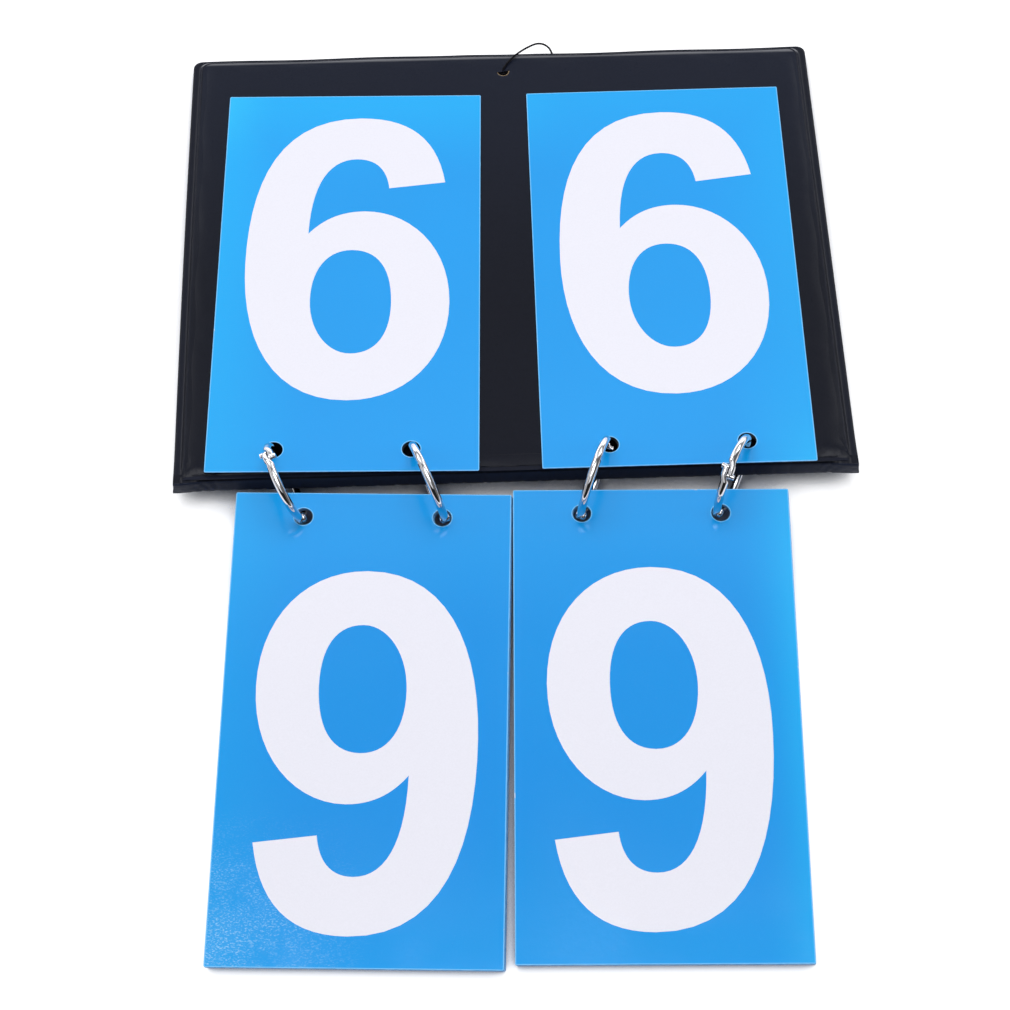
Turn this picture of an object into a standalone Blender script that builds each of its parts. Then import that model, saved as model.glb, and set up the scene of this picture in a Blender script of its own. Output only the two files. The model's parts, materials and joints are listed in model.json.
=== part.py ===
"""Flip scoreboard: two stiff panels, a soft spine, four hinged rings and two columns of leaves."""
import math

import bmesh
import bpy
from mathutils import Matrix, Vector

MM = 0.001

# The frame's origin: this far beyond the ring axis, at the middle of the laid-out length
ORIGIN_Y = 11.2 * MM

# Panels: a lining, a board and a tray-shaped cover, closed flat on the table
PANEL_W = 240.0 * MM
PANEL_D = 196.0 * MM
COVER_T = 0.25 * MM
LINING_T = 0.25 * MM
BOARD_T = 1.1 * MM
LAYER_GAP = 0.1 * MM
PANEL_T = COVER_T + LINING_T + BOARD_T + 2 * LAYER_GAP
RIM_SIDE = 2.7 * MM
RIM_FAR = 0.9 * MM
RIM_NEAR = 0.1 * MM
CORNER_FAR = 3.2 * MM
CORNER_NEAR = 1.5 * MM
FLOOR_GAP = 0.1 * MM
BACK_NEAR_Y = 2.6 * MM
BACK_NEAR_Z = 6.3 * MM
FRONT_NEAR_Y = 1.6 * MM
FRONT_TOP_Z = 15.62 * MM
FAR_GAP = 1.4 * MM
RING_HOLE_D = 8.4 * MM
STRING_HOLE_D = 3.7 * MM
STRING_HOLE_X = 0.7 * MM
STRING_HOLE_Y = PANEL_D - 8.1 * MM

# Spine web: the strip of sheet round the near edges, seen in section (y, z)
WEB_T = 0.6 * MM
WEB_W = 236.0 * MM
WEB_PATH = ((1.12, 15.25), (0.62, 15.0), (0.15, 14.35), (-0.08, 13.4), (-0.02, 12.4),
            (0.3, 11.3), (0.85, 10.2), (1.45, 9.2), (1.95, 8.4), (2.2, 7.6), (2.2, 6.9))

# Leaves
LEAF_W = 97.1 * MM
LEAF_H = 172.4 * MM
LEAF_T = 0.28 * MM
LEAF_GAP = 0.1 * MM
LEAF_CORNER = 0.6 * MM
HOLE_D = 6.6 * MM
HOLE_X = 24.4 * MM
HOLE_Y = 9.3 * MM
LEAF_COUNT = 10
STACK_TOP_Z = 10.2 * MM
STACK_REF_Y = -2.5 * MM
STACK_TILT = math.radians(2.05)

# Book rings: a fixed and a moving half, hinged on a pin
WIRE_R = 1.5 * MM
RING_R = 14.0 * MM
LUG_R = 1.7 * MM
LUG_GAP = 0.15 * MM
LUG_T = 1.35 * MM
LUG_CLEAR = 0.25 * MM
TONGUE = 0.4 * MM
PIN_R = 0.7 * MM
PIN_CLEAR = 0.05 * MM
PIN_HEAD_R = 1.2 * MM
PIN_HEAD_T = 0.4 * MM
PIN_HEAD_GAP = 0.07 * MM
COLLAR_R = 1.85 * MM
CLASP_GAP = 0.2 * MM
HINGE_ANGLE = math.radians(-112.0)
SWAY_ANGLE = math.radians(99.0)

# Tie string, knotted in the two string holes
CORD_D = 0.8 * MM
CORD_OVER = 0.65 * MM
KNOT_D = 2.6 * MM
KNOT_H = 0.95 * MM
KNOT_GAP = 0.3 * MM

# Columns: side of the middle, hole edge y, turn, flip axis (y, z), stack skew (back, side) per leaf,
# front leaf (x from the stack's middle, y, turn); lengths in millimetres, angles in degrees
COLUMN_GAP = 0.52 * MM
COLUMN_MID_X = -1.64 * MM
COLUMNS = {
    "left": {"side": -1, "edge_y": -1.71, "turn": -2.58, "axis": (-1.706, 17.113), "skew": (0.0994, 0.0611),
             "front": (-11.09, 4.47, -1.57)},
    "right": {"side": 1, "edge_y": -3.34, "turn": -1.57, "axis": (-1.020, 16.194), "skew": (0.0926, 0.0542),
              "front": (10.59, 3.19, -0.03)},
}

# Rings: column and hole side, centre (x from the hole, y), yaw and tilt of the ring's plane,
# clasp angle, sway and sway axis (x, y)
RINGS = {
    1: {"column": "left", "hole": -1, "at": (-6.467, 1.122), "yaw": 17.899, "tilt": 16.487, "clasp": 78.0,
        "sway": -24.202, "axis": (0.4336, -1.2595)},
    2: {"column": "left", "hole": 1, "at": (-4.900, -0.590), "yaw": 20.992, "tilt": 7.760, "clasp": 84.0,
        "sway": -21.377, "axis": (0.1044, -0.3065)},
    3: {"column": "right", "hole": -1, "at": (4.475, -0.751), "yaw": -20.832, "tilt": -3.809, "clasp": 84.0,
        "sway": 20.936, "axis": (-0.1419, -0.0992)},
    4: {"column": "right", "hole": 1, "at": (4.419, -1.695), "yaw": -26.191, "tilt": 0.980, "clasp": -26.0,
        "sway": 24.504, "axis": (-0.0843, 0.0234)},
}

MATERIALS = {
    "cover_sheet": ((0.022, 0.024, 0.030), 0.45, 0.0),
    "board_grey": ((0.36, 0.27, 0.18), 0.9, 0.0),
    "leaf_blue": ((0.05, 0.32, 0.82), 0.35, 0.0),
    "ring_steel": ((0.75, 0.75, 0.77), 0.15, 1.0),
    "cord_black": ((0.01, 0.01, 0.012), 0.8, 0.0),
}

for old in list(bpy.data.objects):
    bpy.data.objects.remove(old, do_unlink=True)

PARTS = bpy.data.collections.new("flip_scoreboard")
CUTTERS = bpy.data.collections.new("cutters")
bpy.context.scene.collection.children.link(PARTS)
bpy.context.scene.collection.children.link(CUTTERS)
SLOTS = {}
for slot_name, (color, rough, metal) in MATERIALS.items():
    slot = bpy.data.materials.new(slot_name)
    slot.use_nodes = True
    shader = slot.node_tree.nodes["Principled BSDF"]
    shader.inputs["Base Color"].default_value = (*color, 1.0)
    shader.inputs["Roughness"].default_value = rough
    shader.inputs["Metallic"].default_value = metal
    SLOTS[slot_name] = slot


# Small builders
def empty(name, matrix, parent=None):
    obj = bpy.data.objects.new(name, None)
    obj.empty_display_size = 0.01
    PARTS.objects.link(obj)
    seat(obj, matrix, parent)
    return obj


def seat(obj, matrix, parent=None):
    obj["world"] = [value for row in matrix for value in row]
    if parent is None:
        obj.matrix_basis = Matrix.Translation((0.0, -ORIGIN_Y, 0.0)) @ matrix
        return
    flat = list(parent["world"])
    frame = Matrix([flat[0:4], flat[4:8], flat[8:12], flat[12:16]])
    obj.parent = parent
    obj.matrix_basis = frame.inverted() @ matrix


def add(name, bm, slot_name, matrix, parent=None, smooth=False, cutter=False):
    bmesh.ops.recalc_face_normals(bm, faces=bm.faces)
    mesh = bpy.data.meshes.new(name)
    bm.to_mesh(mesh)
    bm.free()
    for face in mesh.polygons:
        face.use_smooth = smooth
    obj = bpy.data.objects.new(name, mesh)
    if cutter:
        CUTTERS.objects.link(obj)
        obj.hide_render = True
        obj.display_type = "WIRE"
    else:
        PARTS.objects.link(obj)
        mesh.materials.append(SLOTS[slot_name])
    seat(obj, matrix, parent)
    return obj


def rounded(x0, x1, y0, y1, near_r, far_r, steps=5):
    """Corner points of a rounded rectangle, anticlockwise from its near left corner."""
    points = []
    corners = ((x0, y0, near_r, 180), (x1, y0, near_r, 270), (x1, y1, far_r, 0), (x0, y1, far_r, 90))
    for x, y, r, start in corners:
        cx = x + r if x == x0 else x - r
        cy = y + r if y == y0 else y - r
        for i in range(steps):
            angle = math.radians(start + 90.0 * i / (steps - 1))
            points.append((cx + r * math.cos(angle), cy + r * math.sin(angle)))
    return points


def circle(x, y, r, count=24):
    return [(x + r * math.cos(2 * math.pi * i / count), y + r * math.sin(2 * math.pi * i / count))
            for i in range(count)]


def band(bm, lower, upper):
    count = len(lower)
    for i in range(count):
        k = (i + 1) % count
        bm.faces.new((lower[i], lower[k], upper[k], upper[i]))


def sheet_mesh(loops, holes):
    """A closed sheet: loops of (points, z) from its top face round its edge to its bottom face."""
    bm = bmesh.new()
    rings = [[bm.verts.new((x, y, z)) for x, y in points] for points, z in loops]
    for upper, lower in zip(rings, rings[1:]):
        band(bm, lower, upper)
    caps = []
    for ring, (points, z) in ((rings[0], loops[0]), (rings[-1], loops[-1])):
        caps.append([ring] + [[bm.verts.new((x, y, z)) for x, y in hole] for hole in holes])
    for top, bottom in zip(caps[0][1:], caps[1][1:]):
        band(bm, top, bottom)
    for cap in caps:
        edges = []
        for ring in cap:
            for i, vert in enumerate(ring):
                pair = (vert, ring[(i + 1) % len(ring)])
                edges.append(bm.edges.get(pair) or bm.edges.new(pair))
        bmesh.ops.triangle_fill(bm, edges=edges, use_beauty=True, use_dissolve=False)
    return bm


def lathe_mesh(profile, segments=24, phase=0.0):
    """A body turned about X from (x, radius) points; both ends are on the axis."""
    bm = bmesh.new()
    rows = []
    turns = [2 * math.pi * (i + phase) / segments for i in range(segments)]
    for x, r in profile[1:-1]:
        rows.append([bm.verts.new((x, r * math.cos(turn), r * math.sin(turn))) for turn in turns])
    for lower, upper in zip(rows, rows[1:]):
        band(bm, lower, upper)
    for (x, r), row in ((profile[0], rows[0]), (profile[-1], rows[-1])):
        tip = bm.verts.new((x, 0.0, 0.0))
        for i in range(segments):
            bm.faces.new((row[i], row[(i + 1) % segments], tip))
    return bm


def wire_mesh(stations, segments=16):
    """A round wire along the ring from (angle, radius) stations, in the ring's own frame."""
    bm = bmesh.new()
    rows = []
    for angle, r in stations:
        out = Vector((0.0, math.sin(angle), math.cos(angle)))
        row = []
        for i in range(segments):
            turn = 2 * math.pi * i / segments
            point = out * (RING_R + r * math.cos(turn)) + Vector((r * math.sin(turn), 0.0, 0.0))
            row.append(bm.verts.new(point))
        rows.append(row)
    for lower, upper in zip(rows, rows[1:]):
        band(bm, lower, upper)
    bm.faces.new(rows[0])
    bm.faces.new(rows[-1])
    return bm


def shift(bm, offset):
    bmesh.ops.translate(bm, verts=bm.verts, vec=offset)
    return bm


def boolean(obj, tool, operation):
    step = obj.modifiers.new(operation.lower(), "BOOLEAN")
    step.operation = operation
    step.solver = "EXACT"
    step.object = tool


# Ring frames and their crossings with the panels
def column_x(column):
    return COLUMN_MID_X + COLUMNS[column]["side"] * (COLUMN_GAP + LEAF_W) / 2


def ring_matrix(number):
    ring = RINGS[number]
    yaw = math.radians(ring["yaw"])
    tilt = math.radians(ring["tilt"])
    along = Vector((-math.sin(yaw), math.cos(yaw), 0.0))
    flat = Vector((math.cos(yaw), math.sin(yaw), 0.0))
    up = Vector((0.0, 0.0, 1.0)) * math.cos(tilt) - flat * math.sin(tilt)
    side = along.cross(up)
    centre_x = column_x(ring["column"]) + ring["hole"] * HOLE_X + ring["at"][0] * MM
    centre = Vector((centre_x, ring["at"][1] * MM, WIRE_R + RING_R * math.cos(tilt)))
    rows = [[side[i], along[i], up[i], centre[i]] for i in range(3)]
    return Matrix(rows + [[0.0, 0.0, 0.0, 1.0]])


def ring_point(angle):
    return Vector((0.0, RING_R * math.sin(angle), RING_R * math.cos(angle)))


def sway_matrix(number, share):
    ring = RINGS[number]
    pivot = ring_matrix(number) @ ring_point(SWAY_ANGLE)
    axis = Vector((ring["axis"][0], ring["axis"][1], 1.0)).normalized()
    turn = Matrix.Rotation(math.radians(ring["sway"]) * share, 4, axis)
    return Matrix.Translation(pivot) @ turn @ Matrix.Translation(-pivot)


def crossing(number, panel, height, low, high):
    """Mean place, in a panel's frame, where the wire meets its plane before and after the sway."""
    places = []
    for share in (0.0, 1.0):
        frame = panel.inverted() @ sway_matrix(number, share) @ ring_matrix(number)
        a = math.radians(low)
        b = math.radians(high)
        sign = (frame @ ring_point(a)).z - height
        for _ in range(40):
            middle = (a + b) / 2
            if ((frame @ ring_point(middle)).z - height) * sign > 0:
                a = middle
            else:
                b = middle
        places.append(frame @ ring_point(a))
    return (places[0] + places[1]) / 2


# Panel frames: the back one lies on its cover, the front one on the leaves of air above it
back_drop = math.asin((BACK_NEAR_Z - FLOOR_GAP) / PANEL_D)
BACK = Matrix.Translation((0.0, BACK_NEAR_Y, BACK_NEAR_Z)) @ Matrix.Rotation(-back_drop, 4, "X")
BACK = BACK @ Matrix.Translation((0.0, 0.0, PANEL_T)) @ Matrix.Rotation(math.pi, 4, "Y")
far_under = FLOOR_GAP + PANEL_T + FAR_GAP
front_drop = math.asin((FRONT_TOP_Z - PANEL_T - far_under) / (PANEL_D + FRONT_NEAR_Y))
FRONT = Matrix.Rotation(-front_drop, 4, "X") @ Matrix.Translation((0.0, FRONT_NEAR_Y, -PANEL_T))
FRONT = Matrix.Translation((0.0, 0.0, FRONT_TOP_Z)) @ FRONT


def panel(name, matrix, low, high, parent):
    holes = []
    for number in RINGS:
        place = crossing(number, matrix, PANEL_T / 2, low, high)
        holes.append(circle(place.x, place.y, RING_HOLE_D / 2))
    spot = matrix.inverted() @ Vector((STRING_HOLE_X, STRING_HOLE_Y, (matrix @ Vector((0, PANEL_D, 0))).z))
    holes.append(circle(spot.x, spot.y, STRING_HOLE_D / 2))

    def outline(inset, extra):
        side = inset * RIM_SIDE + extra
        near = inset * RIM_NEAR + extra * 0.4
        far = inset * RIM_FAR + extra
        half = PANEL_W / 2
        return rounded(-half + side, half - side, near, PANEL_D - far, CORNER_NEAR, CORNER_FAR)

    under = LINING_T + LAYER_GAP
    loops = [
        (outline(1, 1.0 * MM), PANEL_T),
        (outline(1, 0.45 * MM), PANEL_T - 0.15 * MM),
        (outline(1, 0.0), under + COVER_T),
        (outline(0, 0.0), under + COVER_T),
        (outline(0, 0.0), under),
        (outline(1, 0.25 * MM), under),
        (outline(1, 0.7 * MM), PANEL_T - COVER_T - 0.1 * MM),
        (outline(1, 1.2 * MM), PANEL_T - COVER_T),
    ]
    add(name + "_cover", sheet_mesh(loops, holes), "cover_sheet", matrix, parent)
    board = outline(1, 1.3 * MM)
    loops = [(board, under + BOARD_T), (board, under)]
    add(name + "_board", sheet_mesh(loops, holes), "board_grey", matrix, parent)
    lining = outline(0, 0.0)
    loops = [(lining, LINING_T), (lining, 0.0)]
    add(name + "_lining", sheet_mesh(loops, holes), "cover_sheet", matrix, parent)
    return spot


base = empty("base_frame", Matrix.Identity(4))
tent = empty("tent_axis", Matrix.Translation((0.0, 0.0, FRONT_TOP_Z - 0.32 * MM)), base)
back_spot = panel("back", BACK, 110.0, 150.0, base)
front_spot = panel("front", FRONT, 75.0, 110.0, tent)


# Spine web
def strip_mesh(path, thickness, width):
    points = [Vector((0.0, y * MM, z * MM)) for y, z in path]
    bm = bmesh.new()
    rows = []
    for i, point in enumerate(points):
        run = points[min(i + 1, len(points) - 1)] - points[max(i - 1, 0)]
        off = Vector((0.0, -run.z, run.y)).normalized() * (thickness / 2)
        rows.append([bm.verts.new((x, point.y + s * off.y, point.z + s * off.z))
                     for x, s in ((-width / 2, -1), (width / 2, -1), (width / 2, 1), (-width / 2, 1))])
    for lower, upper in zip(rows, rows[1:]):
        band(bm, lower, upper)
    bm.faces.new(rows[0])
    bm.faces.new(rows[-1])
    return bm


add("spine_web", strip_mesh(WEB_PATH, WEB_T, WEB_W), "cover_sheet", Matrix.Identity(4), base)


# Leaves: each has its frame at the middle of its hole edge, with +Y away from the rings or towards them
def leaf(name, matrix, parent, direction):
    far = direction * LEAF_H
    outline = rounded(-LEAF_W / 2, LEAF_W / 2, min(0.0, far), max(0.0, far), LEAF_CORNER, LEAF_CORNER, 4)
    holes = [circle(s * HOLE_X, direction * HOLE_Y, HOLE_D / 2) for s in (-1, 1)]
    loops = [(outline, LEAF_T / 2), (outline, -LEAF_T / 2)]
    add(name, sheet_mesh(loops, holes), "leaf_blue", matrix, parent)


for side, column in COLUMNS.items():
    turn = Matrix.Rotation(math.radians(column["turn"]), 4, "Z")
    edge_x = column_x(side)
    edge_y = column["edge_y"] * MM
    axis_y, axis_z = (value * MM for value in column["axis"])
    pivot = empty(side + "_flip_axis", Matrix.Translation((edge_x, axis_y, axis_z)) @ turn, base)
    top_z = STACK_TOP_Z + (edge_y - STACK_REF_Y) * math.tan(STACK_TILT)
    stack = Matrix.Translation((edge_x, edge_y, top_z)) @ turn @ Matrix.Rotation(STACK_TILT, 4, "X")
    skew_back, skew_side = (value * MM for value in column["skew"])
    for j in range(LEAF_COUNT):
        drop = -LEAF_T / 2 - (LEAF_T + LEAF_GAP) * j
        place = stack @ Matrix.Translation((skew_side * j, skew_back * j, drop))
        leaf("%s_leaf_%02d" % (side, j + 1), place, pivot, -1)
    front_dx, front_y, front_turn = column["front"]
    front_x = edge_x + front_dx * MM
    lift = empty(side + "_lift_axis", Matrix.Translation((front_x, axis_y, axis_z)), tent)
    top = FRONT_TOP_Z - front_y * MM * math.tan(front_drop) + LEAF_GAP / math.cos(front_drop)
    place = Matrix.Translation((front_x, front_y * MM, top)) @ Matrix.Rotation(-front_drop, 4, "X")
    place = place @ Matrix.Rotation(math.radians(front_turn), 4, "Z") @ Matrix.Translation((0, 0, LEAF_T / 2))
    leaf(side + "_front_leaf", place, lift, 1)


# Rings
def end_profile(double):
    """Distance from the clasp face and wire radius, along one end of a half."""
    rows = [(0.0, 1.6), (0.15, COLLAR_R / MM), (0.95, COLLAR_R / MM), (1.1, WIRE_R / MM)]
    if double:
        rows += [(1.35, WIRE_R / MM), (1.5, COLLAR_R / MM), (2.1, COLLAR_R / MM), (2.3, WIRE_R / MM)]
    return [(distance * MM / RING_R, r * MM) for distance, r in rows]


def half(number, name, clasp, hinge, side, parent, pivot_angle):
    """One half of a ring, from its clasp to its hinge; side is where its lug lies on the pin."""
    way = 1.0 if hinge > clasp else -1.0
    start = clasp + way * CLASP_GAP / 2 / RING_R
    stations = [(start + way * distance, r) for distance, r in end_profile(side > 0)]
    count = max(4, round(abs(hinge - stations[-1][0]) / math.radians(7.5)))
    first = stations[-1][0]
    last = hinge + way * TONGUE / RING_R
    stations += [(first + (last - first) * i / count, WIRE_R) for i in range(1, count + 1)]
    frame = ring_matrix(number)
    origin = ring_point(pivot_angle)
    matrix = frame @ Matrix.Translation(origin)
    obj = add(name, shift(wire_mesh(stations), -origin), "ring_steel", matrix, parent, smooth=True)
    knuckle = frame @ Matrix.Translation(ring_point(hinge))
    if side < 0:
        knuckle = knuckle @ Matrix.Rotation(math.pi, 4, "Z")
    near = LUG_GAP / 2 - 0.05 * MM
    far = LUG_GAP / 2 + LUG_T
    lug = [(near, 0), (near, LUG_R), (far - 0.2 * MM, LUG_R), (far, LUG_R - 0.2 * MM), (far, 0)]
    lug = add(name + "_lug", lathe_mesh(lug, 24, 0.37), None, knuckle, None, cutter=True)
    near = LUG_GAP / 2
    clear_r = LUG_R + LUG_CLEAR
    bore_r = PIN_R + PIN_CLEAR
    tool = [(-far - 0.3 * MM, 0), (-far - 0.3 * MM, clear_r), (near, clear_r), (near, bore_r),
            (far + 0.5 * MM, bore_r), (far + 0.5 * MM, 0)]
    tool = add(name + "_room", lathe_mesh(tool, 24, 0.13), None, knuckle, None, cutter=True)
    boolean(obj, lug, "UNION")
    boolean(obj, tool, "DIFFERENCE")
    return obj


for number in RINGS:
    clasp_angle = math.radians(RINGS[number]["clasp"])
    name = "ring_%d" % number
    frame = ring_matrix(number)
    sway = empty(name + "_sway_axis", frame @ Matrix.Translation(ring_point(SWAY_ANGLE)), base)
    knuckle = frame @ Matrix.Translation(ring_point(HINGE_ANGLE))
    joint = empty(name + "_hinge_axis", knuckle, sway)
    half(number, name + "_fixed_half", clasp_angle, HINGE_ANGLE + 2 * math.pi, 1, sway, SWAY_ANGLE)
    half(number, name + "_moving_half", clasp_angle, HINGE_ANGLE, -1, joint, HINGE_ANGLE)
    inner = LUG_GAP / 2 + LUG_T + PIN_HEAD_GAP
    outer = inner + PIN_HEAD_T
    rivet = [(-outer, 0), (-outer, PIN_HEAD_R - 0.3 * MM), (-outer + 0.15 * MM, PIN_HEAD_R), (-inner, PIN_HEAD_R),
             (-inner, PIN_R), (inner, PIN_R), (inner, PIN_HEAD_R), (outer - 0.15 * MM, PIN_HEAD_R),
             (outer, PIN_HEAD_R - 0.3 * MM), (outer, 0)]
    add(name + "_pin", lathe_mesh(rivet, 20), "ring_steel", knuckle, joint, smooth=True)


# Tie string: out of the front hole, over the far edge, back between the panels and into the back hole
def spot_world(matrix, spot, height):
    return matrix @ Vector((spot.x, spot.y, height))


front_mouth = spot_world(FRONT, front_spot, PANEL_T)
back_mouth = spot_world(BACK, back_spot, 0.0)


def smooth_path(knots, spacing):
    """Points at an even spacing on a Catmull-Rom curve through the knots."""
    dense = []
    for i in range(len(knots) - 1):
        p0 = knots[max(i - 1, 0)]
        p1 = knots[i]
        p2 = knots[i + 1]
        p3 = knots[min(i + 2, len(knots) - 1)]
        for step in range(24):
            t = step / 24.0
            dense.append(0.5 * (2 * p1 + (p2 - p0) * t + (2 * p0 - 5 * p1 + 4 * p2 - p3) * t * t
                                + (3 * p1 - 3 * p2 + p3 - p0) * t * t * t))
    dense.append(knots[-1])
    total = sum((b - a).length for a, b in zip(dense, dense[1:]))
    count = max(2, round(total / spacing))
    points = [dense[0]]
    travelled = 0.0
    target = total / count
    for a, b in zip(dense, dense[1:]):
        length = (b - a).length
        while travelled + length >= target - 1e-9 and len(points) < count:
            points.append(a.lerp(b, (target - travelled) / length))
            target += total / count
        travelled += length
    points.append(dense[-1])
    return points, total


front_slope = math.tan(front_drop)
back_slope = math.tan(back_drop)


def over(right, out):
    """A point on the front panel's face, from the string hole's middle in millimetres."""
    x = STRING_HOLE_X + right * MM
    y = STRING_HOLE_Y + out * MM
    return Vector((x, y, front_mouth.z - (y - front_mouth.y) * front_slope + CORD_OVER))


def between(right, out):
    """A point midway between the panels, from the string hole's middle in millimetres."""
    x = STRING_HOLE_X + right * MM
    y = STRING_HOLE_Y + out * MM
    upper = front_mouth.z - PANEL_T - (y - front_mouth.y) * front_slope
    lower = back_mouth.z - (y - back_mouth.y) * back_slope
    return Vector((x, y, (upper + lower) / 2))


CORD_KNOTS = [
    front_mouth + Vector((0.0, 0.05 * MM, -0.35 * MM)),
    front_mouth + Vector((0.10 * MM, 0.45 * MM, 0.22 * MM)),
    front_mouth + Vector((0.45 * MM, 1.15 * MM, 0.58 * MM)),
    over(1.6, 3.3),
    over(4.3, 6.7),
    over(7.4, 9.5),
    over(10.6, 11.9) + Vector((0.0, 0.0, -0.25 * MM)),
    over(13.6, 13.7) + Vector((0.0, 0.0, -0.8 * MM)),
    over(16.3, 14.0) + Vector((0.0, 0.0, -1.6 * MM)),
    over(18.4, 12.7) + Vector((0.0, 0.0, -2.4 * MM)),
    between(19.4, 10.7),
    between(19.9, 7.6),
    between(19.8, 1.6),
    between(18.2, -4.9),
    between(13.9, -10.0),
    between(8.1, -12.3),
    between(3.0, -11.3),
    between(0.4, -8.1),
    between(-0.02, -4.3),
    back_mouth + Vector((0.0, -1.6 * MM, 0.78 * MM)),
    back_mouth + Vector((0.0, -0.75 * MM, 0.55 * MM)),
    back_mouth + Vector((0.0, -0.2 * MM, 0.05 * MM)),
    back_mouth + Vector((0.0, 0.0, -0.5 * MM)),
]
route, cord_length = smooth_path(CORD_KNOTS, 1.05 * MM)


def cord(name, points, matrix, parent):
    curve = bpy.data.curves.new(name, "CURVE")
    curve.dimensions = "3D"
    curve.bevel_depth = CORD_D / 2
    curve.bevel_resolution = 2
    curve.use_fill_caps = True
    spline = curve.splines.new("POLY")
    spline.points.add(len(points) - 1)
    inverse = matrix.inverted()
    for node, point in zip(spline.points, points):
        node.co = (*(inverse @ point), 1.0)
    draft = bpy.data.objects.new(name + "_draft", curve)
    bpy.context.scene.collection.objects.link(draft)
    bpy.context.view_layer.update()
    graph = bpy.context.evaluated_depsgraph_get()
    mesh = bpy.data.meshes.new_from_object(draft.evaluated_get(graph))
    bpy.data.objects.remove(draft, do_unlink=True)
    bm = bmesh.new()
    bm.from_mesh(mesh)
    bmesh.ops.remove_doubles(bm, verts=bm.verts, dist=0.00001)
    add(name, bm, "cord_black", matrix, parent, smooth=True)


cord("tie_cord", route, Matrix.Translation(front_mouth), tent)


def knot_mesh(height):
    """A drawn-up knot: a squat round body with a waist."""
    r = KNOT_D / 2
    h = height / 2
    turn = [(-h, 0), (-h, 0.35 * r), (-0.86 * h, 0.72 * r), (-0.5 * h, 0.98 * r), (-0.18 * h, r), (0.0, 0.93 * r),
            (0.18 * h, r), (0.5 * h, 0.98 * r), (0.86 * h, 0.72 * r), (h, 0.35 * r), (h, 0)]
    return lathe_mesh(turn, 20)


upright = Matrix.Rotation(math.pi / 2, 4, "Y")
front_knot = front_mouth + Vector((0.0, 0.0, -0.35 * MM - KNOT_GAP - KNOT_H / 2))
back_knot = back_mouth + Vector((0.0, 0.0, -0.5 * MM - KNOT_GAP - KNOT_H / 2 + 0.1 * MM))
add("front_knot", knot_mesh(KNOT_H), "cord_black", Matrix.Translation(front_knot) @ upright, tent, smooth=True)
add("back_knot", knot_mesh(KNOT_H), "cord_black", Matrix.Translation(back_knot) @ upright, base, smooth=True)

print("cord length mm", round(cord_length / MM, 2), "points", len(route))
print("front drop", round(math.degrees(front_drop), 3), "back drop", round(math.degrees(back_drop), 3))
for obj in bpy.data.objects:
    if "world" in obj:
        del obj["world"]
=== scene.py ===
"""Dresses a folded flip scoreboard: padded covers, a creased spine, plated rings, printed leaves and a tie string."""

import json
import math

import bmesh
import bpy
import numpy as np
from bpy.props import FloatProperty, FloatVectorProperty, PointerProperty
from mathutils import Matrix, Vector
from mathutils.geometry import delaunay_2d_cdt


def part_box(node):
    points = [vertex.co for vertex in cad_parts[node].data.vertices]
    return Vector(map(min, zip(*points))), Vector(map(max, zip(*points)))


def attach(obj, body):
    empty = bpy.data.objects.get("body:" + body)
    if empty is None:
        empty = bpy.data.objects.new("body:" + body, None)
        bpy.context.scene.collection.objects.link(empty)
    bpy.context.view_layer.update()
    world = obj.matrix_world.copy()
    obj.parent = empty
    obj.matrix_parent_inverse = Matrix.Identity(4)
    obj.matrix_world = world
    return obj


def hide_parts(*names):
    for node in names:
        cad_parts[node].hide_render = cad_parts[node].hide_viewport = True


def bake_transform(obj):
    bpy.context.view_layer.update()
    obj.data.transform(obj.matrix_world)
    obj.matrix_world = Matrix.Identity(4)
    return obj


bl_info = {
    "name": "Flip Scoreboard",
    "version": (1, 0, 0),
    "blender": (4, 5, 0),
    "location": "3D View > Sidebar > Scoreboard",
    "description": "Builds a table flip scoreboard round its packed frame",
    "category": "Add Mesh",
}

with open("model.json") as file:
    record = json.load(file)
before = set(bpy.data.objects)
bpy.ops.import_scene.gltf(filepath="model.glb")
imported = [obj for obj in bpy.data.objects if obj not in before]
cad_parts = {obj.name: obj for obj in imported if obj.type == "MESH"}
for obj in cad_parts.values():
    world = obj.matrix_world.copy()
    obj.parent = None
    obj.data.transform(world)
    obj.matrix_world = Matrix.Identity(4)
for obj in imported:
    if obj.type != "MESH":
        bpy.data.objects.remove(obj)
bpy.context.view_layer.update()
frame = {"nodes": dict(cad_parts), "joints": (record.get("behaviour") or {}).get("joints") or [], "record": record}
NODES = frame["nodes"]
JOINTS = {joint["name"]: joint for joint in frame["joints"]}
BODY_OF = {node: body for body, nodes in frame["record"]["behaviour"]["bodies"].items() for node in nodes}
MM = 0.001
# Points closer than this are one
WELD = 2e-7
COLOR = {"subtype": "COLOR", "size": 3, "min": 0.0, "max": 1.0}


# Settings that a user may change
class LeafLook(bpy.types.PropertyGroup):
    ink: FloatVectorProperty(
        name="Ink", description="Printed colour of the leaves", default=(0.004, 0.350, 0.90), **COLOR)
    digit: FloatVectorProperty(
        name="Digit", description="Colour of the digits", default=(0.885, 0.885, 0.985), **COLOR)
    # The cut rim is drawn as a pale line of painted highlight
    rim: FloatProperty(
        name="Cut rim", description="Width of the pale line along cut edges and round the holes",
        unit="LENGTH", min=0.0, max=0.001, default=0.00032)
    curl: FloatProperty(
        name="Corner curl", description="How far the loose corner of a top leaf lifts",
        unit="LENGTH", min=0.0, max=0.002, default=0.0005)


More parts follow.
